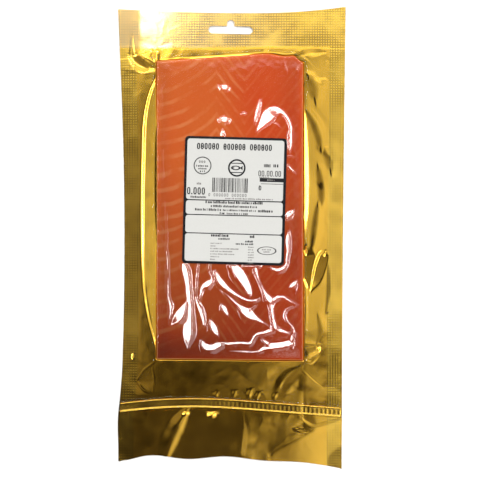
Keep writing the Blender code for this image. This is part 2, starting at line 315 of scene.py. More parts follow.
@dataclass(frozen=True)
class Facet:
    """A ridge whose front is an even slope as wide as the knots say, and whose back falls off at once.

    The knots hold places and the front's width in mm. A sunk facet is a groove with the same slopes, and a
    soft one has a rounded crest and toes.
    """

    knots: tuple[Knot, ...]
    side: Side = Side.HEADER
    slope: float = 0.0
    back: float = 0.55
    sunk: bool = False
    soft: bool = False
    margin: float = 0.6

    def slopes(self, line: Array, facing: float) -> Array:
        """Slope of the front along the path: the one given, or the one that catches the light from above.

        Args:
            line: The path's points.
            facing: Side of the path that the front falls to.

        Returns:
            The slope at each point.
        """
        if self.slope:
            return np.full(len(line), self.slope)
        runs = np.gradient(line[:, :2], axis=0)
        runs /= np.maximum(np.hypot(runs[:, 0], runs[:, 1]), LEAST)[:, None]
        towards = facing * (line[:, 1] * runs[:, 0] - line[:, 0] * runs[:, 1])
        return LIT_SLOPE - LIT_DRIFT * towards

    def facing(self, line: Array) -> float:
        """Side of the path that the front falls to.

        Args:
            line: The path's points.

        Returns:
            1 for its left and -1 for its right.
        """
        if self.side is not Side.HEADER:
            return self.side.value
        runs = np.diff(line[:, :2], axis=0)
        to_header = runs[:, 0] + HEADER_LEAN * runs[:, 1]
        return 1.0 if to_header.sum() > 0.0 else -1.0

    def rise(self, x: Array, y: Array) -> Array:
        """How far the facet lifts the sheet.

        Args:
            x: Places across the pouch.
            y: Places along it.

        Returns:
            The lift at each place, in metres.
        """
        line = through(self.knots)
        facing = self.facing(line)
        reach = line[:, 2].max() * (self.margin + self.back)
        low, high = line[:, :2].min(0) - reach, line[:, :2].max(0) + reach
        near = np.nonzero((x > low[0]) & (x < high[0]) & (y > low[1]) & (y < high[1]))
        at_x, at_y = x[near], y[near]
        nearest = np.full(at_x.shape, np.inf)
        across, width, slope = np.zeros(at_x.shape), np.full(at_x.shape, LEAST), np.zeros(at_x.shape)
        slopes = self.slopes(line, facing)
        for start, end, steep in zip(line, line[1:], (slopes[1:] + slopes[:-1]) / 2.0):
            run = end[:2] - start[:2]
            length = max(float(np.hypot(*run)), LEAST)
            run = run / length
            from_x, from_y = at_x - start[0], at_y - start[1]
            ahead = np.clip(from_x * run[0] + from_y * run[1], 0.0, length)
            off = np.hypot(from_x - ahead * run[0], from_y - ahead * run[1])
            closer = off < nearest
            nearest = np.where(closer, off, nearest)
            sign = np.where(run[0] * from_y - run[1] * from_x > 0.0, facing, -facing)
            across = np.where(closer, off * sign, across)
            wide = start[2] + (end[2] - start[2]) * ahead / length
            width = np.where(closer, np.maximum(wide, LEAST), width)
            slope = np.where(closer, steep, slope)
        front = (width / 2.0 - across) * slope
        back = (across + width * (0.5 + self.back)) * slope / self.back
        lifted = np.maximum(np.minimum(front, back), 0.0)
        if self.soft:
            crest = np.maximum(width * slope, LEAST)
            lifted = crest * smooth(lifted / crest)
        rise = np.zeros(x.shape)
        rise[near] = -lifted if self.sunk else lifted
        return rise

    def near(self, x: Array, y: Array) -> Array:
        """Whether places lie on the facet or right beside it."""
        return np.abs(self.rise(x, y)) > 0.0


def lift(facets: Sequence[Facet], x: Array, y: Array) -> Array:
    """The relief that facets give a sheet: the highest ridge and the deepest groove at each place.

    Args:
        facets: The facets.
        x: Places across the pouch.
        y: Places along it.

    Returns:
        The lift at each place.
    """
    ridge, groove = np.zeros(x.shape), np.zeros(x.shape)
    for facet in facets:
        rise = facet.rise(x, y)
        ridge, groove = np.maximum(ridge, rise), np.minimum(groove, rise)
    return ridge + groove


FOIL_FOLDS: tuple[Facet, ...] = (
    # long fold left of the slab
    Facet(
        ((-53.4, 116.9, 2.9), (-55.6, 106.1, 6.5), (-57, 95.3, 9.7), (-57.7, 83.7, 11.1),
         (-58, 69.3, 11.8), (-58.2, 27.4, 12.3), (-58, -1.4, 12), (-57.7, -17.3, 11.5),
         (-57.4, -23.8, 11.1), (-56.7, -39.7, 9.7), (-55.1, -59.2, 6.5), (-52.4, -82.3, 2.9)),
        Side.RIGHT, 0.125, 0.1, sunk=True,
    ),
    # soft hollows of the right border
    Facet(((55.6, 114, 5.8), (57.7, 108.2, 9.4), (59.2, 101.7, 6.5)), Side.RIGHT, 0.018, 0.8, soft=True),
    Facet(
        ((54.1, 90.2, 3.6), (58.4, 82.3, 5.1), (62.1, 72.2, 5.8), (63.5, 65.7, 3.6)),
        Side.RIGHT, 0.025, 1, soft=True,
    ),
    Facet(((65.7, 64.2, 4.3), (69.3, 58.4, 7.9), (70.7, 50.5, 5.8)), Side.RIGHT, 0.021, 0.8, soft=True),
    Facet(
        ((62.1, 49.1, 4.3), (63.5, 40.4, 5.8), (64.2, 30.3, 5.8), (64.2, 24.5, 3.6)),
        Side.RIGHT, 0.023, 0.9, soft=True,
    ),
    Facet(
        ((61.3, 22.4, 3.6), (59.9, 13, 5.1), (58.4, 1.4, 5.1), (57, -8.7, 2.9)),
        Side.RIGHT, 0.026, 0.9, soft=True,
    ),
    Facet(((69.3, -21.6, 2.2), (69.6, -37.5, 4.3), (67.8, -52, 2.2)), Side.RIGHT, 0.024, 1, soft=True),
    Facet(((62.1, -57.7, 2.9), (63.5, -66.4, 5.1), (61.3, -75, 2.2)), Side.RIGHT, 0.018, 1.2, soft=True),
    # two facets half way down the right border
    Facet(
        ((53.8, -13, 11.5), (54.5, -20.9, 9.4), (55.2, -29.6, 5.8), (55.9, -36.8, 0.7)),
        Side.LEFT, 0.135, 0.2, sunk=True,
    ),
    Facet(
        ((66.4, -13.7, 6.1), (64.2, -20.9, 7.2), (61.3, -30.3, 5.8), (57, -38.2, 1.1)),
        Side.LEFT, 0.135, 0.25, sunk=True,
    ),
    Facet(((52.1, -33.9, 1.4), (52.1, -52, 2.3), (51.8, -75, 1.4)), Side.RIGHT, 0.05, 0.8),
    # foot of the pouch by the right corner
    Facet(
        ((33.2, -118.3, 3.6), (37.5, -110.4, 8.7), (44, -101, 8.7), (49.8, -94.5, 3.6)),
        Side.RIGHT, 0.01, 0.5, soft=True,
    ),
    Facet(((64.9, -107.5, 0.7), (57.7, -101.7, 1.2), (51.2, -95.3, 0.7)), Side.HEADER, 0.06, 0.8),
    # streak between strip and mouth
    Facet(
        ((-31.8, -124.8, 2.9), (-34.6, -132.8, 5.8), (-38.2, -141.4, 6.9), (-42.2, -150.1, 6.5),
         (-45.8, -158, 4.3)),
        Side.LEFT, 0.07, 1.3, soft=True,
    ),
    Facet(((7.9, -125.6, 1.4), (9.4, -140, 2.9), (7.9, -154.4, 3.2)), Side.LEFT, 0.022, 1, soft=True),
    # bright corner by the mouth
    Facet(((46.9, -137.1, 2.2), (57.7, -137.8, 3.6), (70.7, -135.7, 2.2)), Side.HEADER, 0.02, 1, soft=True),
)

FOIL_FACETS: tuple[Facet, ...] = (
    # crest of the long fold
    Facet(
        ((-53.5, 117.1, 0.7), (-58.3, 106.1, 1.7), (-61.2, 95.3, 2), (-62.9, 84, 2.3), (-63.6, 69.3, 2.5),
         (-64.5, 27.4, 2.5), (-64.4, -11.5, 2), (-63.9, -23.8, 1.7), (-62.8, -39.7, 1.6),
         (-59.5, -59.2, 1.3), (-53.4, -82.3, 0.7)),
        Side.RIGHT, 0.235, 9, sunk=True,
    ),
    # fold right of the slab
    Facet(
        ((51.4, 97.4, 0.7), (52.7, 85.1, 2.2), (53.3, 63.5, 3.6), (53.7, 38.2, 3.9), (53.3, 16.6, 3.2),
         (51.7, -1.4, 0.7)),
        Side.LEFT, 0.145, 0.5,
    ),
    # edge over the slab's head
    Facet(
        ((-54.1, 127.7, 0.7), (-44.7, 129, 0.9), (-23.1, 130.3, 1), (5.8, 132.2, 1.1), (23.8, 133.6, 1),
         (31, 133.5, 1), (36.8, 132.5, 1), (41.9, 132.5, 1), (46.2, 133.5, 1), (49.1, 134.7, 1.2),
         (51.2, 136, 0.9)),
        Side.HEADER, 0.14, 0.3,
    ),
    # corner by the header, left
    Facet(
        ((-71.4, 145.8, 1.1), (-70.9, 138.5, 2.5), (-69.3, 131.3, 4.3), (-64.2, 126.3, 5.1),
         (-57.7, 123.4, 2.2)),
        Side.LEFT, 0.055, 1.1, sunk=True, soft=True,
    ),
    Facet(
        ((-81.5, 123.4, 1.4), (-72.2, 122, 2.9), (-62.1, 120.1, 2.2), (-54.1, 119.1, 1.4)),
        Side.HEADER, 0.035, 0.35,
    ),
    Facet(
        ((-63.9, 130.6, 0.6), (-63.1, 126.6, 1), (-59.9, 123.4, 1.3), (-54.8, 120.9, 0.7)),
        Side.HEADER, 0.145, 0.6,
    ),
    Facet(
        ((-63.1, 130.6, 0.6), (-59.9, 129.5, 1), (-57, 127.4, 1), (-54.5, 124.1, 0.6)),
        Side.HEADER, 0.145, 0.6,
    ),
    Facet(((-57.4, 137.8, 0.6), (-57.3, 132.8, 1), (-55.6, 127, 1)), Side.LEFT, 0.235, 0.6),
    Facet(((-53, 137.1, 0.6), (-53.3, 132.1, 1.2), (-53.8, 127, 0.6)), Side.LEFT, 0.235, 0.6),
    # lower edge of the header's seal
    Facet(
        ((-52, 136.4, 1.4), (-44.7, 138.2, 1.6), (-37.5, 136.5, 1.3), (-26, 136.8, 1.3),
         (-12.3, 136.4, 1.3), (5.8, 136.8, 1.3), (27.4, 137.5, 1.3), (47.6, 137.1, 1.2)),
        Side.HEADER, 0.05, 45,
    ),
    Facet(((24.5, 136.4, 0.7), (24.9, 133.5, 1.2), (25.1, 130.6, 0.6)), Side.LEFT, 0.18, 0.8),
    # corner by the header, right
    Facet(
        ((51.6, 132.4, 1.2), (55.6, 134.6, 2.2), (60.6, 135.1, 3.2), (66.4, 134.6, 1.4)),
        Side.HEADER, 0.05, 0.8, sunk=True,
    ),
    Facet(
        ((52, 131.3, 0.7), (55.6, 129.2, 1.2), (59.9, 125.2, 1.4), (65.7, 122, 1.4), (72.9, 119.8, 1.2)),
        Side.LEFT, 0.02, 1, sunk=True,
    ),
    Facet(((65.7, 126.6, 0.7), (67.8, 127.4, 1.6), (70, 128.4, 0.7)), Side.LEFT, 0.05, 0.8),
    # dark dents in the right border
    Facet(((63.1, 114, 1.1), (66.4, 112.6, 2.9), (70.4, 111.1, 1.1)), Side.RIGHT, 0.034, 0.8, soft=True),
    Facet(((62.1, 64.2, 2.2), (65.3, 61.7, 5.1), (70, 58.1, 2.2)), Side.RIGHT, 0.026, 0.8, soft=True),
    Facet(((62.4, 38.2, 1.7), (65.7, 36.4, 4), (70.7, 34.6, 1.7)), Side.RIGHT, 0.026, 0.8, soft=True),
    Facet(((64.9, 13.3, 0.7), (67.1, 12, 1.7), (69.3, 10.8, 0.7)), Side.RIGHT, 0.032, 0.8, soft=True),
    # crumple at the slab's corner by the mouth, right
    Facet(((51.2, -81.5, 2.9), (55.6, -81.2, 4.3), (60.6, -79.7, 3.6)), Side.LEFT, 0.13, 0.4),
    Facet(((52, -88, 1), (57, -90.2, 1.4), (61.3, -86.6, 1.4), (64.2, -82.3, 0.7)), Side.RIGHT, 0.05, 0.6),
    Facet(((52, -76.1, 1), (57.7, -75.8, 1.4), (63.5, -76.9, 1)), Side.HEADER, 0.05, 0.6),
    # diamond fold at the slab's corner by the mouth, left
    Facet(((-68.2, -102.5, 0.7), (-62.8, -95.3, 1.4), (-55.6, -89.5, 0.7)), Side.RIGHT, 0.02, 0.6),
    Facet(((-68.2, -103.2, 0.7), (-63.1, -109, 1.4), (-57, -111.8, 0.7)), Side.LEFT, 0.02, 0.6),
    Facet(((-57, -93.8, 0.7), (-55.6, -102.5, 1.4), (-56.6, -110.4, 0.7)), Side.LEFT, 0.025, 0.6),
    Facet(((-71.1, -87, 0.6), (-70.9, -85.1, 1.2), (-70.6, -83.3, 0.6)), Side.RIGHT, 0.27, 0.6),
    # foot of the pouch over the strip
    Facet(((1.4, -114.7, 0.7), (2.3, -111.8, 1.3), (2.9, -109.3, 0.6)), Side.RIGHT, 0.2, 0.8),
    Facet(((11.9, -115.5, 0.7), (13.3, -112.2, 1.9), (14.4, -108.6, 0.6)), Side.RIGHT, 0.19, 0.8),
    Facet(((18, -116.2, 0.7), (19.2, -113.3, 1.4), (20.2, -110.8, 0.6)), Side.RIGHT, 0.19, 0.8),
    Facet(((30.3, -116.2, 0.7), (31.3, -113.9, 1.6), (32.5, -111.8, 0.6)), Side.RIGHT, 0.17, 0.8),
    Facet(((-11.5, -114.7, 0.7), (-10.8, -112.6, 1.4), (-10.1, -110.4, 0.6)), Side.RIGHT, 0.2, 0.8),
    # dents between the strip and the mouth
    Facet(((-16.2, -125.6, 1.6), (-14.6, -126.4, 2.9), (-13, -125.6, 1.6)), Side.HEADER, 0.26, 0.8),
    Facet(((-34.5, -125.2, 1), (-33.2, -125.6, 2.2), (-31.9, -125.2, 1)), Side.HEADER, 0.26, 0.8),
    Facet(
        ((78.7, -132.1, 2.2), (70.7, -135.7, 3.6), (59.2, -138.5, 4.3), (51.2, -134.2, 3.6),
         (48.3, -127.7, 1.4)),
        Side.LEFT, 0.05, 0.6,
    ),
)

FILM_FACETS: tuple[Facet, ...] = (
    # hook over the label's corner
    Facet(
        ((17.7, 76.3, 1.1), (21.9, 82.1, 5.4), (25.7, 87.2, 8.7), (30, 91.1, 6.8), (35.6, 90.3, 3.2),
         (39.9, 85.4, 2.5), (42.1, 79.7, 2.2), (42.1, 72.4, 2.5), (41.9, 66.4, 2.2), (41.3, 62.1, 1.1)),
        back=0.10,
    ),
    Facet(((29.2, 82.1, 0.7), (32, 81.8, 1.2), (34.9, 79.1, 0.4))),
    Facet(((20.2, 99.1, 0.6), (19.3, 95.3, 1.9), (17.8, 90.2, 2.3), (16.6, 85.1, 1.7), (16.1, 80.8, 0.6))),
    # spots over the label
    Facet(((-6.6, 108.2, 3.3), (-5.4, 108.1, 3.8), (-4, 107.8, 3.2))),
    Facet(((-6.8, 85.1, 3.6), (-5.5, 85, 4.3), (-4, 84.9, 3.6))),
    Facet(((-6.9, 77.9, 0.7), (-7.3, 73.6, 2.9))),
    Facet(((6.1, 88.6, 0.6), (8.3, 89.1, 1.4), (10.5, 89.2, 0.6))),
    Facet(((37.7, 125.3, 0.6), (39.5, 120.2, 0.9))),
    Facet(((49.3, 124.2, 0.6), (46.4, 119.9, 0.9))),
    # long crease down the left side
    Facet(
        ((-48.8, 63.5, 0.3), (-48.3, 45.5, 0.5), (-47.6, 27.4, 0.6), (-46.8, 2.2, 0.9), (-47.2, -6.5, 1.1),
         (-46.3, -14.4, 1.3), (-45.9, -25.2, 1.3), (-45.5, -41.7, 1.4), (-44, -47.6, 2.2),
         (-43.9, -52, 1.7), (-44.6, -57.5, 1.2), (-44.5, -61.5, 0.7)),
    ),
    # blade and wing under the label's left corner
    Facet(
        ((-35.4, -17.7, 1.8), (-33.7, -23.1, 4.3), (-31.9, -32.4, 3.5), (-31, -43.2, 3.6),
         (-30.8, -53.9, 4.3), (-31.9, -64.7, 6.5), (-32, -71.9, 5.4), (-31.5, -79.7, 0.4)),
    ),
    Facet(((-33.6, -47.5, 2.2), (-38.2, -55.9, 6.5), (-43.9, -62.4, 0.7))),
    # two lines that meet
    Facet(
        ((-24.7, -18.8, 1.4), (-25.4, -26.6, 1.4), (-26.1, -36, 1.4), (-26.1, -41.7, 1.4), (-25, -46, 1.9),
         (-23.2, -50.4, 2.9), (-20.8, -57.5, 2.5), (-20.1, -64.2, 0.7)),
    ),
    Facet(
        ((-16.5, -19.1, 1.4), (-16.1, -23.7, 1.4), (-14.3, -29.6, 2.2), (-17.5, -32.8, 4.3),
         (-21.1, -35.3, 2.5), (-22.5, -40.3, 1.6), (-23.2, -46, 0.7)),
    ),
    # pair of long curves
    Facet(
        ((-11.8, -23.7, 1.4), (-8.2, -31, 4.3), (-2.5, -36.7, 3.2), (4.8, -41.7, 2.3), (11.2, -44.6, 1.9),
         (17, -44.6, 1.7), (21.3, -42.6, 0.6)),
    ),
    Facet(
        ((-8.9, -31.7, 0.7), (-6.1, -37.4, 1.9), (-1, -43.2, 1.9), (5.5, -48.9, 2.5), (11.2, -53.5, 6.5),
         (17, -57.5, 3.6), (21.9, -60.4, 1.7), (27.7, -64, 0.6)),
    ),
    Facet(((10.5, -52.7, 2.2), (17.7, -47.8, 0.6))),
    # wedge under the label's middle
    Facet(((0.4, -19.1, 4.3), (4.8, -24.5, 7.2), (9, -31, 6.5), (12.6, -38.8, 4), (13, -42.1, 0.7))),
    Facet(((9.7, -19.5, 2.9), (19.1, -18.8, 2.9))),
    # web on the right
    Facet(
        ((17.7, -18, 2.9), (17.3, -23.7, 2.5), (19.8, -31.7, 1.4), (23.4, -38.8, 2.2), (26.3, -43.2, 4.3),
         (29, -46, 4.3), (28.6, -51.1, 2.6), (29.5, -57.5, 2.3), (31, -64, 2.9)),
    ),
    Facet(((29.5, -64, 2.2), (34.9, -66.2, 2.7), (39.9, -67.7, 1.6), (43.5, -67.2, 1.1))),
    Facet(((28.1, -45.3, 2.9), (32.8, -42.4, 2.3), (37, -42.4, 1.9), (41.3, -45, 1.7), (46.4, -47.5, 0.9))),
    Facet(
        ((45.7, -48.2, 0.7), (39.2, -51, 1.5), (37, -55.3, 1.7), (38.8, -60.4, 1.6), (42.1, -64, 1.5),
         (43.5, -67.8, 1.6), (42.8, -71.9, 2.2), (42.4, -76.2, 2.2)),
    ),
    Facet(
        ((31.3, -64.7, 2.9), (24.1, -67.5, 2.3), (17.7, -69, 2), (14.8, -72.6, 1.9), (12.6, -75.5, 2.3),
         (5.5, -75.1, 2.2), (-1.7, -75.8, 2.3), (-7.4, -75.5, 1.9)),
    ),
    # long line over the slab's foot
    Facet(
        ((-3.9, -81, 0.7), (6.9, -81.5, 1.6), (17.7, -81.5, 1.7), (22.7, -79.1, 2.9), (28.4, -77.4, 4.6),
         (35.6, -76.6, 4.3), (42.8, -75.5, 4.6), (43.7, -79.7, 0.7)),
    ),
    Facet(((20.2, -71.3, 0.7), (25.5, -75.5, 2.9))),
    Facet(((-21.8, -73.3, 1.1), (-19, -77.6, 4.7), (-14.6, -78.4, 4.7), (-8.2, -76.2, 3.6))),
    # loose marks
    Facet(((-7.6, -46.9, 0.7), (-5.3, -51, 3.6), (-2.9, -55.9, 0.7))),
    Facet(((-15.3, -58.2, 0.7), (-12.8, -64.7, 4.7), (-9.5, -70.4, 0.6))),
    Facet(((40.8, -35.5, 0.6), (43.7, -33.6, 3.3), (45.6, -31, 1.1))),
    Facet(((44.7, -33.9, 2.2), (45.5, -39, 0.6))),
    # edge of the label, right
    Facet(((38.6, 59, 1.1), (43.5, 58.7, 0.6))),
    Facet(((39.4, 53, 1.1), (42.6, 49.2, 1.9), (45.5, 46.6, 0.6))),
    Facet(((37.8, 14.1, 2.2), (40.4, 17, 4), (43.7, 19.8, 1.1))),
    Facet(
        ((40.6, 5.1, 0.9), (39.6, -1.4, 2.9), (40, -8.7, 2.3), (39.2, -14.4, 1.9), (38.8, -18.8, 2),
         (35.6, -22.3, 2.5), (31.3, -22.7, 2.5), (26.3, -20.6, 0.7)),
    ),
)


@dataclass(frozen=True)
class Heights:
    """Heights of foil, fish, film, strip and label over the table."""

    plan: Plan = PLAN
    foil_thickness: float = 0.00018
    film_thickness: float = 0.00010
    gap: float = 0.00012
    salmon_base: float = 0.0004
    salmon_thickness: float = 0.0048
    salmon_crown: float = 0.0001
    crown_half: float = 0.056
    chamfer: float = 0.0007
    chamfer_slopes: tuple[float, float, float, float] = (0.40, 0.18, 0.20, 0.30)
    toe_reach: float = 0.0009
    border: float = 0.0015
    right_slope: float = 0.035
    pocket: float = 0.0080
    pocket_at: float = -0.1310
    pocket_reach: float = 0.0110
    corner_turn: float = 0.0260
    corner_from: float = -0.1380
    corner_length: float = 0.0220
    left_slope: float = 0.048
    left_crest: float = -0.0655
    bend: float = 0.0040
    header_drop: float = 0.00004
    strip_rise: float = 0.0002
    strip_reach: float = 0.0160
    strip_rise_to: float = 0.0520
    mouth_wave: float = 0.00012
    mouth_reach: float = 0.0350
    film_cling: float = 0.0011
    cling_power: float = 1.3
    crease_reach: float = 0.002
    strip_tape: float = 0.0003
    tape_margin: float = 0.0004
    tape_fade: float = 0.0006
    rib: float = 0.0009
    rib_middle: float = 0.0029
    rib_half: float = 0.0007
    tooth_pitch: float = 0.0031
    tooth_depth: float = 0.00010
    tooth_sharpness: int = 3
    teeth_half: float = 0.0021
    teeth_fade: float = 0.0008
    teeth_from: float = -0.045
    teeth_start: float = 0.04
    label_centre: Point = (0.0019, 0.0267)
    label_size: Point = (0.0731, 0.0913)
    label_turn: float = math.radians(-1.5)
    label_clear: float = 0.0008

    def past(self, off: Array) -> Array:
        """How far places lie past a line, with an eased start."""
        over = np.maximum(off, 0.0)
        return np.where(over < self.bend, over * over / (2.0 * self.bend), over - self.bend / 2.0)

    def right_crest(self, y: Array) -> Array:
        """Line from which the right border falls away: beside the slab, bent by the mouth."""
        off = (y - self.pocket_at) / self.pocket_reach
        turn = self.corner_turn * smooth((self.corner_from - y) / self.corner_length)
        return self.plan.salmon_right + self.pocket * np.exp(-off * off) - turn

    def border_under(self, x: Array, y: Array) -> Array:
        """Underside of the border away from the folds: level past head and foot, falling to both sides.

        Args:
            x: Places across the pouch.
            y: Places along it.

        Returns:
            The height at each place.
        """
        plan = self.plan
        off_strip = (y - plan.strip_middle(x)) / self.strip_reach
        to_mouth = smooth((plan.strip_middle(x) - y) / self.mouth_reach)
        return (
            self.border
            - self.right_slope * self.past(x - self.right_crest(y))
            - self.left_slope * self.past(self.left_crest - x)
            - self.header_drop * smooth((y - plan.salmon_head(x)) / self.strip_reach)
            + self.strip_rise * np.exp(-off_strip * off_strip) * smooth((self.strip_rise_to - x) / self.bend)
            + self.mouth_wave * to_mouth * plan.mouth_wave(x)
        )

    def foil_under(self, x: Array, y: Array) -> Array:
        """Underside of the foil: on the table below the slab, drawn up beside it to the creased border.

        Args:
            x: Places across the pouch.
            y: Places along it.

        Returns:
            The height at each place.
        """
        rise = smooth(self.plan.outside_slab(x, y) / self.toe_reach)
        relief = lift(FOIL_FOLDS, x, y) + lift(FOIL_FACETS, x, y)
        return np.maximum((self.border_under(x, y) + relief) * rise, 0.0)

    def foil_top(self, x: Array, y: Array) -> Array:
        """Upper face of the foil."""
        return self.foil_under(x, y) + self.foil_thickness

    def salmon_top(self, x: Array, y: Array) -> Array:
        """Upper face of the slab, with its edges taken off.

        Args:
            x: Places across the pouch.
            y: Places along it.

        Returns:
            The height at each place.
        """
        plan = self.plan
        insets = (
            x - plan.salmon_left,
            plan.salmon_right - x,
            y - plan.salmon_foot(x),
            plan.salmon_head(x) - y,
        )
        drop = np.zeros(x.shape)
        for inset, slope in zip(insets, self.chamfer_slopes):
            drop = np.maximum(drop, (self.chamfer - np.maximum(inset, 0.0)) * slope)
        middle = (plan.salmon_head_at + plan.salmon_foot_at) / 2.0
        half = (plan.salmon_head_at - plan.salmon_foot_at) / 2.0
        crown = self.salmon_crown * arch(x, self.crown_half) * arch(y - middle, half)
        return self.salmon_base + self.salmon_thickness + crown - drop

    def strip_relief(self, x: Array, y: Array) -> Array:
        """Thickness of the press-to-close strip: a thin tape, two ribs and short teeth between them.

        Args:
            x: Places across the pouch.
            y: Places along it.

        Returns:
            The thickness at each place, 0 beside the strip.
        """
        off = y - self.plan.strip_middle(x)
        in_tape = self.plan.strip_half + self.tape_margin - np.abs(off)
        tape = self.strip_tape * smooth(in_tape / self.tape_fade)
        from_rib = np.abs(np.abs(off) - self.rib_middle) / self.rib_half
        ribs = self.rib * np.sqrt(np.clip(1.0 - from_rib * from_rib, 0.0, 1.0))
        tooth = 0.5 + 0.5 * np.cos(FULL_TURN * x / self.tooth_pitch)
        between_ribs = smooth((self.teeth_half - np.abs(off)) / self.teeth_fade)
        teeth = self.tooth_depth * tooth**self.tooth_sharpness * between_ribs
        return np.maximum(tape, ribs) + teeth * smooth((x - self.teeth_from) / self.teeth_start)

    def beside_label(self, x: Array, y: Array) -> Array:
        """0 under the label and 1 a little outside it.

        Args:
            x: Places across the pouch.
            y: Places along it.

        Returns:
            The share at each place.
        """
        from_x, from_y = x - self.label_centre[0], y - self.label_centre[1]
        cos, sin = math.cos(self.label_turn), math.sin(self.label_turn)
        across = np.abs(from_x * cos + from_y * sin) - self.label_size[0] / 2.0
        along = np.abs(from_y * cos - from_x * sin) - self.label_size[1] / 2.0
        return np.clip(np.maximum(across, along) / self.label_clear, 0.0, 1.0)

    def film_under(self, x: Array, y: Array) -> Array:
        """Underside of the film: creased over the fish, then clinging to the foil and the strip.

        Args:
            x: Places across the pouch.
            y: Places along it.

        Returns:
            The height at each place.
        """
        off = self.plan.outside_slab(x, y)
        on_foil = self.foil_top(x, y) + self.gap + self.strip_relief(x, y)
        on_fish = self.salmon_top(x, y) + self.gap
        cling = np.exp(-((off / self.film_cling) ** self.cling_power))
        down = on_foil + np.maximum(0.0, on_fish - on_foil) * cling
        creases = lift(FILM_FACETS, x, y) * self.beside_label(x, y)
        return np.where(off <= 0.0, on_fish, down) + creases * smooth(1.0 - off / self.crease_reach)

    def film_top(self, x: Array, y: Array) -> Array:
        """Upper face of the film."""
        return self.film_under(x, y) + self.film_thickness

    def label_under(self, x: Array, y: Array) -> Array:
        """Underside of the label, a little above the film."""
        return self.salmon_top(x, y) + 2.0 * self.gap + self.film_thickness


HEIGHTS = Heights()


# ---------------------------------------------------------------- mesh making


def places(verts: Sequence[bmesh.types.BMVert]) -> Array:
    """Coordinates of vertices, one a row."""
    return np.array([v.co for v in verts])


def as_piece(name: str, made: Mesh, material: Material) -> bpy.types.Object:
    """Makes a piece that rides on the pack.

    Args:
        name: The piece's name.
        made: Its mesh in place, which is freed.
        material: Its finish.

    Returns:
        The piece.
    """
    mesh = bpy.data.meshes.new(name)
    made.normal_update()
    made.to_mesh(mesh)
    made.free()
    mesh.materials.append(material)
    mesh.shade_smooth()
    mesh.set_sharp_from_angle(angle=SHARP_ANGLE)
    piece = bpy.data.objects.new(name, mesh)
    bpy.context.scene.collection.objects.link(piece)
    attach(piece, "root")
    return piece


def shell(made: Mesh, top: Field, under: Field) -> None:
    """Turns a flat layout into a closed sheet with the heights of two fields.

    Args:
        made: The layout, which is changed.
        top: Height of the upper face.
        under: Height of the lower face.
    """
    upper = list(made.verts)
    lower = bmesh.ops.extrude_face_region(made, geom=list(made.faces))["geom"]
    lower = [v for v in lower if isinstance(v, bmesh.types.BMVert)]
    for verts, surface in ((upper, top), (lower, under)):
        flat = places(verts)
        for vertex, height in zip(verts, surface(flat[:, 0], flat[:, 1])):
            vertex.co.z = height
    bmesh.ops.recalc_face_normals(made, faces=made.faces)


def flat_grid(columns: int, rows: int) -> tuple[Mesh, list[GridVertex]]:
    """Starts a flat grid whose vertices are still to be placed.

    Args:
        columns: Its grid lines along the pouch.
        rows: Its grid lines across the pouch.

    Returns:
        The mesh, and each vertex with its column and row.
    """
    made = bmesh.new()
    bmesh.ops.create_grid(made, x_segments=columns - 1, y_segments=rows - 1, size=0.5)
    placed = [
        (vertex, round((vertex.co.x + 0.5) * (columns - 1)), round((vertex.co.y + 0.5) * (rows - 1)))
        for vertex in made.verts
    ]
    return made, placed


@dataclass(frozen=True)
class Layout:
    """A flat grid laid out on the pouch's named lines."""

    across: Sequence[int]
    along: Sequence[int]

    def build(self) -> Mesh:
        """Lays the grid out."""
        columns, rows = stations(self.across), stations(self.along)
        made, placed = flat_grid(len(columns), len(rows))
        levels = [between(PLAN.rows(), row, np.zeros(1)) for row in rows]
        xs = np.array([[between(PLAN.columns(), c, level)[0] for c in columns] for level in levels])
        ys = np.array([between(PLAN.rows(), row, x) for row, x in zip(rows, xs)])
        for vertex, column, row in placed:
            vertex.co = (xs[row, column], ys[row, column], 0.0)
        return made


def refine(made: Mesh, facets: Sequence[Facet], cuts: int, least: float, rim: float) -> None:
    """Cuts a flat layout finer where facets lie and along the slab's outline.

    Args:
        made: The layout, which is changed.
        facets: The facets.
        cuts: New vertices on each edge there.
        least: Edges shorter than this stay whole.
        rim: Distance from the slab's outline that counts as beside it.
    """
    verts = list(made.verts)
    flat = places(verts)
    near = np.abs(PLAN.off_outline(flat[:, 0], flat[:, 1])) < rim
    for facet in facets:
        near |= facet.near(flat[:, 0], flat[:, 1])
    close = {vertex for vertex, here in zip(verts, near) if here}
    cells = {face for vertex in close for face in vertex.link_faces}
    edges = {edge for face in cells for edge in face.edges if edge.calc_length() > least}
    bmesh.ops.subdivide_edges(made, edges=list(edges), cuts=cuts, use_grid_fill=True)


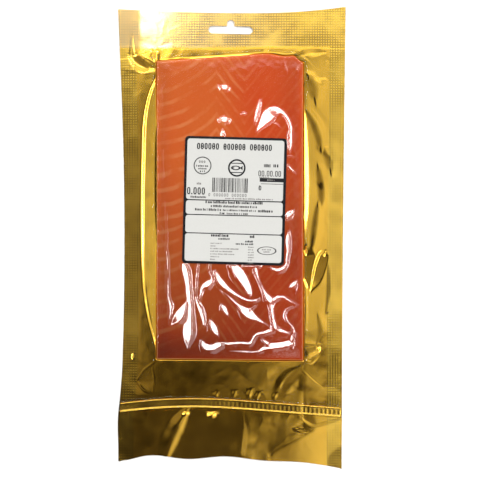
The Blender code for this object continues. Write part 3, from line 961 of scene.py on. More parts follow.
@dataclass(frozen=True)
class HangSlot:
    """The slot in the header: round ends and a notch above its middle."""

    centre: Point = (-0.0010, 0.1499)
    half_length: float = 0.0160
    half_height: float = 0.0028
    notch_radius: float = 0.0027
    notch_rise: float = 0.0046
    turn: float = math.radians(-1.3)
    steps: int = 8
    cut_margin: float = 0.0012
    search_half: float = 0.03
    least_edge: float = 1e-7

    def outline(self) -> list[Vector]:
        """Corners of the slot's outline, anticlockwise."""
        end = self.half_length - self.half_height
        arcs = (
            (end, 0.0, self.half_height, -90.0, 90.0),
            (0.0, self.notch_rise, self.notch_radius, 0.0, 180.0),
            (-end, 0.0, self.half_height, 90.0, 270.0),
        )
        corners = []
        for x, y, radius, start, stop in arcs:
            if start == 0.0:
                corners.append(Vector((self.notch_radius, self.half_height, 0.0)))
            for step in range(self.steps + 1):
                angle = math.radians(start + (stop - start) * step / self.steps)
                corners.append(Vector((x + radius * math.cos(angle), y + radius * math.sin(angle), 0.0)))
            if start == 0.0:
                corners.append(Vector((-self.notch_radius, self.half_height, 0.0)))
        place = Matrix.Translation((*self.centre, 0.0)) @ Matrix.Rotation(self.turn, 4, "Z")
        return [place @ corner for corner in corners]

    def inside(self, place: Vector) -> bool:
        """Whether a place lies in the slot.

        Args:
            place: The place in plan.

        Returns:
            True inside the outline.
        """
        found = False
        corners = self.outline()
        for a, b in zip(corners, corners[1:] + corners[:1]):
            if (a.y > place.y) != (b.y > place.y):
                found ^= place.x < a.x + (place.y - a.y) / (b.y - a.y) * (b.x - a.x)
        return found

    def cut(self, made: Mesh) -> None:
        """Opens a flat layout where the slot is.

        Args:
            made: The layout, which is changed.
        """
        corners = self.outline()
        for a, b in zip(corners, corners[1:] + corners[:1]):
            along = b - a
            if along.length < self.least_edge:
                continue
            middle, reach = (a + b) / 2.0, along.length / 2.0 + self.cut_margin
            faces = [f for f in made.faces if (f.calc_center_median() - middle).length < reach]
            edges = {edge for face in faces for edge in face.edges}
            verts = {vertex for face in faces for vertex in face.verts}
            across = Vector((along.y, -along.x, 0.0))
            bmesh.ops.bisect_plane(
                made, geom=[*faces, *edges, *verts], plane_co=a, plane_no=across, dist=self.least_edge
            )
        centres = [(face, face.calc_center_median()) for face in made.faces]
        opened = [face for face, at in centres if abs(at.x) < self.search_half and self.inside(at)]
        bmesh.ops.delete(made, geom=opened, context="FACES")


# ---------------------------------------------------------------- finishes


class Graph:
    """A shader node tree with short ways to add and join its nodes."""

    def __init__(self, tree: Tree) -> None:
        """Starts on a node tree."""
        self.tree = tree

    def add(self, kind: str, **settings: object) -> bpy.types.Node:
        """Adds a node.

        Args:
            kind: The node's type without its ShaderNode prefix.
            **settings: Properties to set on it.

        Returns:
            The node.
        """
        node = self.tree.nodes.new("ShaderNode" + kind)
        for name, value in settings.items():
            setattr(node, name, value)
        return node

    def feed(self, socket: Socket, value: object) -> None:
        """Sets a socket to a value, or joins it to another socket.

        Args:
            socket: The input.
            value: A number, a colour or an output socket.
        """
        if isinstance(value, Socket):
            self.tree.links.new(value, socket)
        elif isinstance(value, tuple) and len(value) == 3 and socket.type == "RGBA":
            socket.default_value = (*value, 1.0)
        else:
            socket.default_value = value

    def math(self, operation: str, *values: object) -> Socket:
        """Works out a number.

        Args:
            operation: The Math node's operation.
            *values: Its inputs.

        Returns:
            The result.
        """
        node = self.add("Math", operation=operation)
        for socket, value in zip(node.inputs, values):
            self.feed(socket, value)
        return node.outputs[0]

    def product(self, *factors: object) -> Socket:
        """Multiplies numbers, one after another."""
        return reduce(lambda whole, factor: self.math("MULTIPLY", whole, factor), factors)

    def total(self, *terms: object) -> Socket:
        """Adds numbers up, one after another."""
        return reduce(lambda whole, term: self.math("ADD", whole, term), terms)

    def split(self, vector: Socket) -> Socket:
        """Parts a vector into its three numbers.

        Args:
            vector: The vector.

        Returns:
            The outputs for x, y and z.
        """
        node = self.add("SeparateXYZ")
        self.feed(node.inputs[0], vector)
        return node.outputs

    def mix(self, share: object, low: object, high: object) -> Socket:
        """Blends two colours.

        Args:
            share: How much of high there is.
            low: The colour at 0.
            high: The colour at 1.

        Returns:
            The blended colour.
        """
        node = self.add("Mix", data_type="RGBA", clamp_factor=True)
        self.feed(node.inputs["Factor"], share)
        self.feed(node.inputs[6], low)
        self.feed(node.inputs[7], high)
        return node.outputs[2]

    def ramp(
        self, value: object, low: float, high: float, to_low: float = 0.0, to_high: float = 1.0
    ) -> Socket:
        """Maps a span of values smoothly to another.

        Args:
            value: The value.
            low: Where the span starts.
            high: Where it ends.
            to_low: The result at its start.
            to_high: The result at its end.

        Returns:
            The mapped value.
        """
        node = self.add("MapRange", interpolation_type="SMOOTHSTEP", clamp=True)
        for socket, number in zip(node.inputs, (value, low, high, to_low, to_high)):
            self.feed(socket, number)
        return node.outputs[0]

    def blend(self, share: object, low: object, high: object) -> Socket:
        """Blends two numbers.

        Args:
            share: How much of high there is.
            low: The number at 0.
            high: The number at 1.

        Returns:
            The blended number.
        """
        node = self.add("Mix", clamp_factor=True)
        for socket, value in zip(node.inputs, (share, None, low, high)):
            if value is not None:
                self.feed(socket, value)
        return node.outputs[0]

    def profile(self, value: object, reach: float, stops: Sequence[Point]) -> Socket:
        """Looks a number up on an even curve through stops.

        Args:
            value: The number, between -reach and reach.
            reach: Half the curve's span.
            stops: Numbers and what each of them gives.

        Returns:
            The curve's height.
        """
        node = self.add("ValToRGB")
        self.feed(node.inputs[0], self.math("MULTIPLY_ADD", value, 0.5 / reach, 0.5))
        ramp = node.color_ramp
        ramp.interpolation = "LINEAR"
        while len(ramp.elements) < len(stops):
            ramp.elements.new(0.5)
        for element, (at, height) in zip(ramp.elements, stops):
            element.position = 0.5 + 0.5 * at / reach
            element.color = (height, height, height, 1.0)
        return node.outputs[0]

    def noise(self, vector: object, scale: object, detail: float = 2.0, roughness: float = 0.5) -> Socket:
        """Soft random values over a surface.

        Args:
            vector: The place.
            scale: Features a metre.
            detail: Finer layers.
            roughness: Strength of the finer layers.

        Returns:
            Values from 0 to 1.
        """
        node = self.add("TexNoise")
        self.feed(node.inputs["Vector"], vector)
        self.feed(node.inputs["Scale"], scale)
        self.feed(node.inputs["Detail"], detail)
        self.feed(node.inputs["Roughness"], roughness)
        return node.outputs["Fac"]

    def bump(self, height: object, distance: float) -> Socket:
        """A normal from heights.

        Args:
            height: Heights from 0 to 1.
            distance: How high 1 is.

        Returns:
            The normal.
        """
        node = self.add("Bump")
        node.inputs["Distance"].default_value = distance
        self.feed(node.inputs["Height"], height)
        return node.outputs["Normal"]

    def place(self) -> Socket:
        """The place on the piece, in metres."""
        return self.add("TexCoord").outputs["Object"]

    def attribute(self, name: str) -> Socket:
        """A number stored on the mesh."""
        return self.add("Attribute", attribute_name=name).outputs["Fac"]

    def group(self, tree: Tree, **inputs: object) -> Socket:
        """Places a node group.

        Args:
            tree: The group.
            **inputs: Values for its inputs, by name.

        Returns:
            The group's first output.
        """
        node = self.add("Group")
        node.node_tree = tree
        for name, value in inputs.items():
            self.feed(node.inputs[name], value)
        return node.outputs[0]


def new_group(name: str, inputs: dict[str, str], output: str) -> tuple[Graph, bpy.types.Node, Socket]:
    """Starts a shader node group that puts out one number.

    Args:
        name: The group's name.
        inputs: Socket types by name.
        output: The output's name.

    Returns:
        The group's graph, its input node and the socket that takes the result.
    """
    tree = bpy.data.node_groups.new(name, "ShaderNodeTree")
    for socket, kind in inputs.items():
        tree.interface.new_socket(socket, in_out="INPUT", socket_type=kind)
    tree.interface.new_socket(output, in_out="OUTPUT", socket_type="NodeSocketFloat")
    return Graph(tree), tree.nodes.new("NodeGroupInput"), tree.nodes.new("NodeGroupOutput").inputs[0]


def embossed_grid() -> Tree:
    """The seals' fine grid, pressed into the foil and worn in places; its height also drives the painted
    shade of the foil's grid lines.
    """
    graph, given, result = new_group(
        "embossed_grid",
        {"Place": "NodeSocketVector", "Lines": "NodeSocketFloat", "Mask": "NodeSocketFloat"},
        "Height",
    )
    axes = graph.split(given.outputs["Place"])
    waves = []
    for axis in (0, 1):
        turns = graph.product(axes[axis], given.outputs["Lines"])
        wave = graph.math("SINE", graph.product(turns, FULL_TURN))
        waves.append(graph.ramp(wave, low=-0.4, high=0.9))
    pressed = graph.math("MAXIMUM", *waves)
    patches = graph.noise(given.outputs["Place"], scale=55.0, detail=3.0)
    worn = graph.ramp(patches, low=0.30, high=0.62, to_low=0.25)
    graph.feed(result, graph.product(pressed, worn, given.outputs["Mask"]))
    return graph.tree


def soft_creasing() -> Tree:
    """Faint wrinkles of thin sheet at two scales, used by foil, film and label."""
    graph, given, result = new_group(
        "soft_creasing", {"Place": "NodeSocketVector", "Scale": "NodeSocketFloat"}, "Height"
    )
    finer, fine_share, ridge_share = 3.1, 0.25, -1.6
    place, scale = given.outputs["Place"], given.outputs["Scale"]
    coarse = graph.noise(place, scale, detail=1.0)
    ridged = graph.math("ABSOLUTE", graph.math("SUBTRACT", coarse, 0.5))
    fine = graph.noise(place, graph.product(scale, finer), detail=1.0)
    ridges = graph.product(ridged, ridge_share)
    graph.feed(result, graph.math("MULTIPLY_ADD", fine, fine_share, ridges))
    return graph.tree


@dataclass
class Effects:
    """Node groups that several finishes share."""

    grid: Tree = field(default_factory=embossed_grid)
    creasing: Tree = field(default_factory=soft_creasing)


def new_material(name: str) -> tuple[Material, Graph, bpy.types.Node]:
    """Starts a material.

    Args:
        name: Its name.

    Returns:
        The material, its graph and its Principled node.
    """
    material = bpy.data.materials.new(name)
    material.use_nodes = True
    return material, Graph(material.node_tree), material.node_tree.nodes["Principled BSDF"]


@dataclass(frozen=True)
class GoldFoil:
    """Gold lacquered foil, pressed with a fine grid in the seals, whose lines are darkened with painted
    shade.
    """

    name: str = "gold_foil"
    colour: Colour = (0.88, 0.55, 0.078)
    deep: Colour = (0.82, 0.49, 0.060)
    pale: Colour = (0.93, 0.625, 0.100)
    # shade: colour of the painted shade in the pressed grid's lines
    shade: Colour = (0.40, 0.25, 0.035)
    roughness: float = 0.075
    lines: float = 540.0
    grid_depth: float = 0.000006
    grid_shade_share: float = 0.80
    tone_scale: float = 38.0
    haze_scale: float = 90.0
    haze: Point = (-0.03, 0.04)
    crease_scale: float = 45.0
    crease_depth: float = 0.00008

    def material(self, effects: Effects) -> Material:
        """Builds the finish.

        Args:
            effects: The shared node groups.

        Returns:
            The material.
        """
        made, graph, shader = new_material(self.name)
        place = graph.place()
        seal = graph.attribute("seal")
        grid = graph.group(effects.grid, Place=place, Lines=self.lines, Mask=seal)
        colour = graph.mix(graph.noise(place, self.tone_scale, detail=3.0), self.deep, self.colour)
        colour = graph.mix(seal, colour, self.pale)
        # Painted shade: the pressed grid's lines are darkened towards the shade colour, standing in for
        # shade in the grooves.
        grid_shaded = graph.mix(graph.product(grid, self.grid_shade_share), colour, self.shade)
        graph.feed(shader.inputs["Base Color"], grid_shaded)
        clouds = graph.noise(place, self.haze_scale, detail=4.0)
        cloudy = graph.ramp(clouds, 0.3, 0.7, *(self.roughness + change for change in self.haze))
        graph.feed(shader.inputs["Roughness"], cloudy)
        shader.inputs["Metallic"].default_value = 1.0
        creasing = graph.group(effects.creasing, Place=place, Scale=self.crease_scale)
        heights = graph.math("MULTIPLY_ADD", grid, self.grid_depth / self.crease_depth, creasing)
        graph.feed(shader.inputs["Normal"], graph.bump(heights, self.crease_depth))
        return made


STRIP_GOLD = GoldFoil("strip_gold", (0.68, 0.44, 0.075), (0.60, 0.38, 0.060), roughness=0.15)


@dataclass(frozen=True)
class ClearFilm:
    """Clear glossy film: its outer face mirrors by Fresnel and lets the rest through.

    Where it is sealed onto the foil it mirrors less, as the foil's own shine shows there.
    """

    ior: float = 2.1
    roughness: float = 0.05
    crease_scale: float = 70.0
    crease_depth: float = 0.00005
    tint: Colour = (1.0, 0.99, 0.97)

    def material(self, effects: Effects) -> Material:
        """Builds the finish.

        Args:
            effects: The shared node groups.

        Returns:
            The material.
        """
        made, graph, shader = new_material("clear_film")
        place = graph.place()
        shader.inputs["Base Color"].default_value = (1.0, 1.0, 1.0, 1.0)
        shader.inputs["Metallic"].default_value = 1.0
        shader.inputs["Roughness"].default_value = self.roughness
        creasing = graph.group(effects.creasing, Place=place, Scale=self.crease_scale)
        graph.feed(shader.inputs["Normal"], graph.bump(creasing, self.crease_depth))
        mirror = graph.add("Fresnel")
        mirror.inputs["IOR"].default_value = self.ior
        outer = graph.math("SUBTRACT", 1.0, graph.add("NewGeometry").outputs["Backfacing"])
        share = graph.product(mirror.outputs[0], outer, graph.attribute("shine"))
        clear = graph.add("BsdfTransparent")
        graph.feed(clear.inputs["Color"], self.tint)
        blend = graph.add("MixShader")
        graph.feed(blend.inputs[0], share)
        graph.feed(blend.inputs[1], clear.outputs[0])
        graph.feed(blend.inputs[2], shader.outputs[0])
        output = next(n for n in made.node_tree.nodes if n.type == "OUTPUT_MATERIAL")
        graph.feed(output.inputs["Surface"], blend.outputs[0])
        return made


@dataclass(frozen=True)
class SalmonFlesh:
    """Orange-red flesh with pale fat lines that meet in chevrons along the slab's middle, with painted shade
    towards the mouth and the sides, painted light low on the right and a painted highlight along its rim.
    """

    orange: Colour = (0.57, 0.116, 0.020)
    red: Colour = (0.54, 0.062, 0.010)
    fat: Colour = (0.68, 0.260, 0.100)
    # edge: colour of the painted highlight along the slab's rim, where its lit edge shows
    edge: Colour = (0.95, 0.50, 0.160)
    roughness: float = 0.42
    spine_at: float = -0.0110
    line_spacing: float = 0.0102
    left_rise: float = 0.027
    left_reach: float = 0.022
    right_slope: float = 1.3
    valley_at: float = 0.020
    wobble: float = 0.012
    grain_scale: float = 420.0
    grain_share: float = 0.10
    line_shares: Point = (0.50, 0.14)
    rim_highlight_share: float = 0.35
    gloss: float = 0.06
    translucence: float = 0.12
    glow_reach: Colour = (1.0, 0.25, 0.1)
    glow_depth: float = 0.002
    line_height: float = 0.6
    relief: float = 0.00012

    def chevrons(self, graph: Graph, place: Socket) -> Socket:
        """Pale lines: rising to the middle line on its left and falling steeply on its right.

        Args:
            graph: The material's graph.
            place: The place on the fish.

        Returns:
            1 on a fat line and 0 between lines.
        """
        wobble = graph.noise(place, scale=22.0, detail=3.0)
        axes = graph.split(place)
        off = graph.math("SUBTRACT", axes[0], self.spine_at)
        left = graph.math("MAXIMUM", graph.product(off, -1.0), 0.0)
        right = graph.math("MAXIMUM", off, 0.0)
        fall = graph.math("EXPONENT", graph.math("DIVIDE", left, -self.left_reach))
        bow = graph.product(graph.math("SUBTRACT", 1.0, fall), self.left_rise)
        beyond = graph.math("MAXIMUM", graph.math("SUBTRACT", right, self.valley_at), 0.0)
        folded = graph.math("MULTIPLY_ADD", beyond, -2.0, right)
        along = graph.math("MULTIPLY_ADD", folded, self.right_slope, graph.total(axes[1], bow))
        along = graph.math("MULTIPLY_ADD", wobble, self.wobble, along)
        turns = graph.product(along, FULL_TURN / self.line_spacing)
        line = graph.ramp(graph.math("SINE", turns), low=0.25, high=1.0)
        gaps = graph.noise(place, scale=45.0, detail=3.0, roughness=0.6)
        broken = graph.ramp(gaps, low=0.34, high=0.62)
        fading = graph.ramp(right, low=0.004, high=0.035, to_low=1.0, to_high=0.25)
        return graph.product(line, broken, fading)

    def light(self, graph: Graph, across: Socket, along: Socket, foot: Socket) -> Socket:
        """Painted shade and painted light on the flesh: darker to the mouth, to the left side and to the far
        right, lighter low on the right, as the light falls.

        Args:
            graph: The material's graph.
            across: Places across the slab.
            along: Places along it.
            foot: 1 at the slab's foot and 0 above it.

        Returns:
            The share of the flesh's colour that is kept, which paints its shade and light.
        """
        # Painted shade: darker towards the mouth, the sides and the foot's left; the glow ramp is painted
        # light low on the right.
        painted_shade_to_mouth = graph.ramp(along, low=-0.09, high=0.095, to_low=0.46, to_high=1.0)
        painted_shade_right = graph.ramp(across, low=0.025, high=0.05, to_low=1.0, to_high=0.85)
        painted_shade_left = graph.ramp(across, low=-0.054, high=-0.040, to_low=0.82, to_high=1.0)
        painted_slant = graph.ramp(across, low=-0.055, high=0.045, to_low=0.5, to_high=1.0)
        glow = graph.ramp(across, low=0.015, high=0.042, to_low=1.0, to_high=1.35)
        lower = graph.ramp(along, low=-0.015, high=-0.045)
        painted_slant_at_foot, painted_glow = graph.blend(foot, 1.0, painted_slant), graph.blend(lower, 1.0, glow)
        return graph.product(painted_shade_to_mouth, painted_shade_right, painted_shade_left, painted_slant_at_foot, painted_glow)

    def material(self) -> Material:
        """Builds the finish."""
        made, graph, shader = new_material("smoked_salmon")
        place = graph.place()
        across, along, _ = graph.split(place)
        flush = graph.noise(place, scale=14.0, detail=2.0)
        blush = graph.ramp(flush, low=0.35, high=0.7, to_low=-0.15, to_high=0.35)
        right = graph.ramp(across, low=-0.02, high=0.03, to_low=0.0, to_high=0.85)
        lower = graph.ramp(along, low=-0.08, high=0.03, to_low=0.55, to_high=0.0)
        foot = graph.ramp(along, low=-0.060, high=-0.084)
        flesh = graph.mix(graph.total(right, blush, lower, foot), self.orange, self.red)
        lines = self.chevrons(graph, place)
        grain = graph.noise(place, self.grain_scale, detail=3.0, roughness=0.6)
        specks = graph.ramp(grain, low=0.45, high=0.8, to_low=0.0, to_high=self.grain_share)
        flesh = graph.mix(specks, flesh, self.fat)
        fatty = graph.product(lines, graph.blend(foot, *self.line_shares))
        flesh = graph.mix(fatty, flesh, self.fat)
        # Painted shade and light: the flesh is mixed towards black by the painted shading share.
        flesh = graph.mix(self.light(graph, across, along, foot), (0.0, 0.0, 0.0), flesh)
        # Painted highlight: the flesh turns pale amber along the slab's rim, by the rim attribute.
        flesh = graph.mix(graph.product(graph.attribute("rim"), self.rim_highlight_share), flesh, self.edge)
        graph.feed(shader.inputs["Base Color"], flesh)
        rough = graph.ramp(
            grain, low=0.3, high=0.7, to_low=self.roughness - 0.08, to_high=self.roughness + 0.1
        )
        graph.feed(shader.inputs["Roughness"], rough)
        shader.inputs["Specular IOR Level"].default_value = self.gloss
        shader.inputs["Subsurface Weight"].default_value = self.translucence
        shader.inputs["Subsurface Radius"].default_value = self.glow_reach
        shader.inputs["Subsurface Scale"].default_value = self.glow_depth
        heights = graph.math("MULTIPLY_ADD", lines, self.line_height, grain)
        graph.feed(shader.inputs["Normal"], graph.bump(heights, self.relief))
        return made


@dataclass(frozen=True)
class CoatedPaper:
    """Coated label paper, or ink on it."""

    name: str
    colour: Colour
    roughness: float = 0.38
    gloss: float = 0.15
    speck_scale: float = 900.0
    speck_share: float = 0.1
    dimming: float = 0.93
    unevenness: float = 0.05
    crease_scale: float = 60.0
    tooth: float = 0.00003

    def material(self, effects: Effects) -> Material:
        """Builds the finish.

        Args:
            effects: The shared node groups.

        Returns:
            The material.
        """
        made, graph, shader = new_material(self.name)
        place = graph.place()
        speck = graph.noise(place, self.speck_scale, detail=3.0)
        dim = tuple(channel * self.dimming for channel in self.colour)
        graph.feed(shader.inputs["Base Color"], graph.mix(speck, dim, self.colour))
        low, high = self.roughness - self.unevenness, self.roughness + self.unevenness
        rough = graph.ramp(speck, 0.3, 0.7, low, high)
        graph.feed(shader.inputs["Roughness"], rough)
        shader.inputs["Specular IOR Level"].default_value = self.gloss
        creasing = graph.group(effects.creasing, Place=place, Scale=self.crease_scale)
        heights = graph.math("MULTIPLY_ADD", speck, self.speck_share, creasing)
        graph.feed(shader.inputs["Normal"], graph.bump(heights, self.tooth))
        return made


# ---------------------------------------------------------------- the pieces


def mark(piece: bpy.types.Object, name: str, share: Field) -> None:
    """Stores a number on each vertex of a piece.

    Args:
        piece: The piece.
        name: The attribute's name.
        share: The number over the plan.
    """
    mesh = piece.data
    flat = np.empty(len(mesh.vertices) * 3, np.float32)
    mesh.vertices.foreach_get("co", flat)
    flat = flat.reshape(-1, 3).astype(float)
    values = share(flat[:, 0], flat[:, 1]).astype(np.float32)
    mesh.attributes.new(name, "FLOAT", "POINT").data.foreach_set("value", values)


@dataclass
class Pouch:
    """The gold foil back, the clear film front and the press-to-close strip between them."""

    foil_across: Sequence[int] = (24, 10, 46, 7, 28)
    foil_along: Sequence[int] = (34, 8, 18, 12, 102, 8, 26)
    film_across: Sequence[int] = (14, 12, 60, 8, 20)
    film_along: Sequence[int] = (20, 24, 10, 14, 122, 8, 18)
    strip_across: Sequence[int] = (20, 14, 120, 6, 40)
    strip_along: int = 26
    side_seal: float = 0.0115
    header_seal: float = 0.1370
    seal_fade: float = 0.0012
    rim: float = 0.0014
    header_shine: float = 0.8
    shine_fade: float = 0.062
    shine_span: Point = (0.2, 1.7)
    fish_fade: float = 0.0024
    border_shine: float = 0.06
    dull_rim: float = 0.0050
    rim_dulling: float = 0.96
    foil_cuts: int = 1
    foil_edge: float = 0.0006
    film_cuts: int = 2
    film_edge: float = 0.0008
    strip_inset: float = 0.0012
    strip_seat: float = 0.3
    strip_base: float = 0.00002
    merge_reach: float = 1e-6

    def header_share(self, x: Array, y: Array) -> Array:
        """1 in the header's seal and 0 below it."""
        return smooth((y - self.header_seal - PLAN.top_lean * x) / self.seal_fade)

    def seal_share(self, x: Array, y: Array) -> Array:
        """Where the sheets are pressed together with the fine grid.

        Args:
            x: Places across the pouch.
            y: Places along it.

        Returns:
            1 in a seal and 0 outside it.
        """
        from_side = np.minimum(x - PLAN.left_edge(y), PLAN.right_edge(y) - x)
        side = smooth((self.side_seal - from_side) / self.seal_fade)
        return np.maximum(side, self.header_share(x, y))

    def shine_share(self, x: Array, y: Array) -> Array:
        """How much the film mirrors on its own: all of it on the fish, less at its rim, some in the header.

        Args:
            x: Places across the pouch.
            y: Places along it.

        Returns:
            The share at each place, little on the borders, where the foil's own shine shows.
        """
        rim = smooth(1.0 + PLAN.off_outline(x, y) / self.dull_rim)
        fish = smooth(1.0 - PLAN.outside_slab(x, y) / self.fish_fade) * (1.0 - self.rim_dulling * rim)
        fading = np.clip(1.0 - x / self.shine_fade, *self.shine_span)
        header = self.header_shine * self.header_share(x, y) * fading
        return np.maximum(np.maximum(fish, header), self.border_shine)

    def sheet(self, layout: Layout, facets: Sequence[Facet], cuts: int, least: float) -> Mesh:
        """A flat sheet with the slot cut out, finer where it is creased.

        Args:
            layout: Its grid.
            facets: Its creases.
            cuts: New vertices on each edge there.
            least: Edges shorter than this stay whole.

        Returns:
            The sheet's mesh.
        """
        made = layout.build()
        refine(made, facets, cuts, least, self.rim)
        HangSlot().cut(made)
        return made

    def foil(self, effects: Effects) -> bpy.types.Object:
        """Builds the foil back.

        Args:
            effects: The shared node groups.

        Returns:
            The foil.
        """
        layout = Layout(self.foil_across, self.foil_along)
        made = self.sheet(layout, FOIL_FOLDS + FOIL_FACETS, self.foil_cuts, self.foil_edge)
        shell(made, HEIGHTS.foil_top, HEIGHTS.foil_under)
        foil = as_piece("foil_back", made, GoldFoil().material(effects))
        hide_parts("gold_foil_back")
        mark(foil, "seal", self.seal_share)
        return foil

    def film(self, effects: Effects) -> bpy.types.Object:
        """Builds the clear front.

        Args:
            effects: The shared node groups.

        Returns:
            The film.
        """
        layout = Layout(self.film_across, self.film_along)
        made = self.sheet(layout, FILM_FACETS, self.film_cuts, self.film_edge)
        shell(made, HEIGHTS.film_top, HEIGHTS.film_under)
        film = as_piece("film_front", made, ClearFilm().material(effects))
        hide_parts("clear_film_front")
        mark(film, "shine", self.shine_share)
        return film

    def strip_under(self, x: Array, y: Array) -> Array:
        """Underside of the strip, right over the foil."""
        return HEIGHTS.foil_top(x, y) + HEIGHTS.gap * self.strip_seat

    def strip_top(self, x: Array, y: Array) -> Array:
        """Upper face of the strip."""
        return self.strip_under(x, y) + HEIGHTS.strip_relief(x, y) + self.strip_base

    def strip(self, effects: Effects) -> bpy.types.Object:
        """Builds the press-to-close strip.

        Args:
            effects: The shared node groups.

        Returns:
            The strip.
        """
        columns = stations(self.strip_across)
        made, placed = flat_grid(len(columns), self.strip_along + 1)
        xs = np.array([between(PLAN.columns(), c, np.full(1, PLAN.strip_at))[0] for c in columns])
        inset = np.clip(xs, xs[0] + self.strip_inset, xs[-1] - self.strip_inset)
        middle = PLAN.strip_middle(inset)
        for vertex, column, _ in placed:
            vertex.co = (inset[column], middle[column] + vertex.co.y * 2.0 * PLAN.strip_half, 0.0)
        bmesh.ops.remove_doubles(made, verts=made.verts, dist=self.merge_reach)
        shell(made, self.strip_top, self.strip_under)
        strip = as_piece("press_strip", made, STRIP_GOLD.material(effects))
        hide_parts("press_close_strip")
        return strip

    def build(self, effects: Effects) -> list[bpy.types.Object]:
        """Builds the sheets and the strip."""
        return [self.foil(effects), self.film(effects), self.strip(effects)]


@dataclass
class SalmonSlab:
    """The slab of salmon under the film."""

    across: int = 80
    along: int = 160
    rim_steps: int = 3

    def shares(self, count: int, rim: float) -> Array:
        """Where grid lines lie across the slab, close together at its rim."""
        near = np.linspace(0.0, rim, self.rim_steps + 1)
        return np.concatenate([near, np.linspace(rim, 1.0 - rim, count + 2)[1:-1], 1.0 - near[::-1]])

    def build(self) -> list[bpy.types.Object]:
        """Builds the slab."""
        width = PLAN.salmon_right - PLAN.salmon_left
        length = PLAN.salmon_head_at - PLAN.salmon_foot_at
        columns = self.shares(self.across, HEIGHTS.chamfer / width)
        rows = self.shares(self.along, HEIGHTS.chamfer / length)
        made, placed = flat_grid(len(columns), len(rows))
        for vertex, column, row in placed:
            x = PLAN.salmon_left + width * columns[column]
            foot, head = PLAN.salmon_foot(x), PLAN.salmon_head(x)
            vertex.co = (x, foot + (head - foot) * rows[row], 0.0)
        shell(made, HEIGHTS.salmon_top, lambda x, y: np.full(x.shape, HEIGHTS.salmon_base))
        slab = as_piece("salmon_slab", made, SalmonFlesh().material())
        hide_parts("smoked_salmon")
        # The rim attribute holds where the flesh gets its painted edge highlight.
        mark(slab, "rim", lambda x, y: smooth(1.0 + PLAN.off_outline(x, y) / HEIGHTS.chamfer))
        return [slab]


class Ink(Enum):
    """The label's inks, by how much of the paper they cover."""

    BLACK = (0.008, 0.008, 0.010)
    GREY = (0.055, 0.053, 0.052)
    PALE = (0.220, 0.210, 0.200)


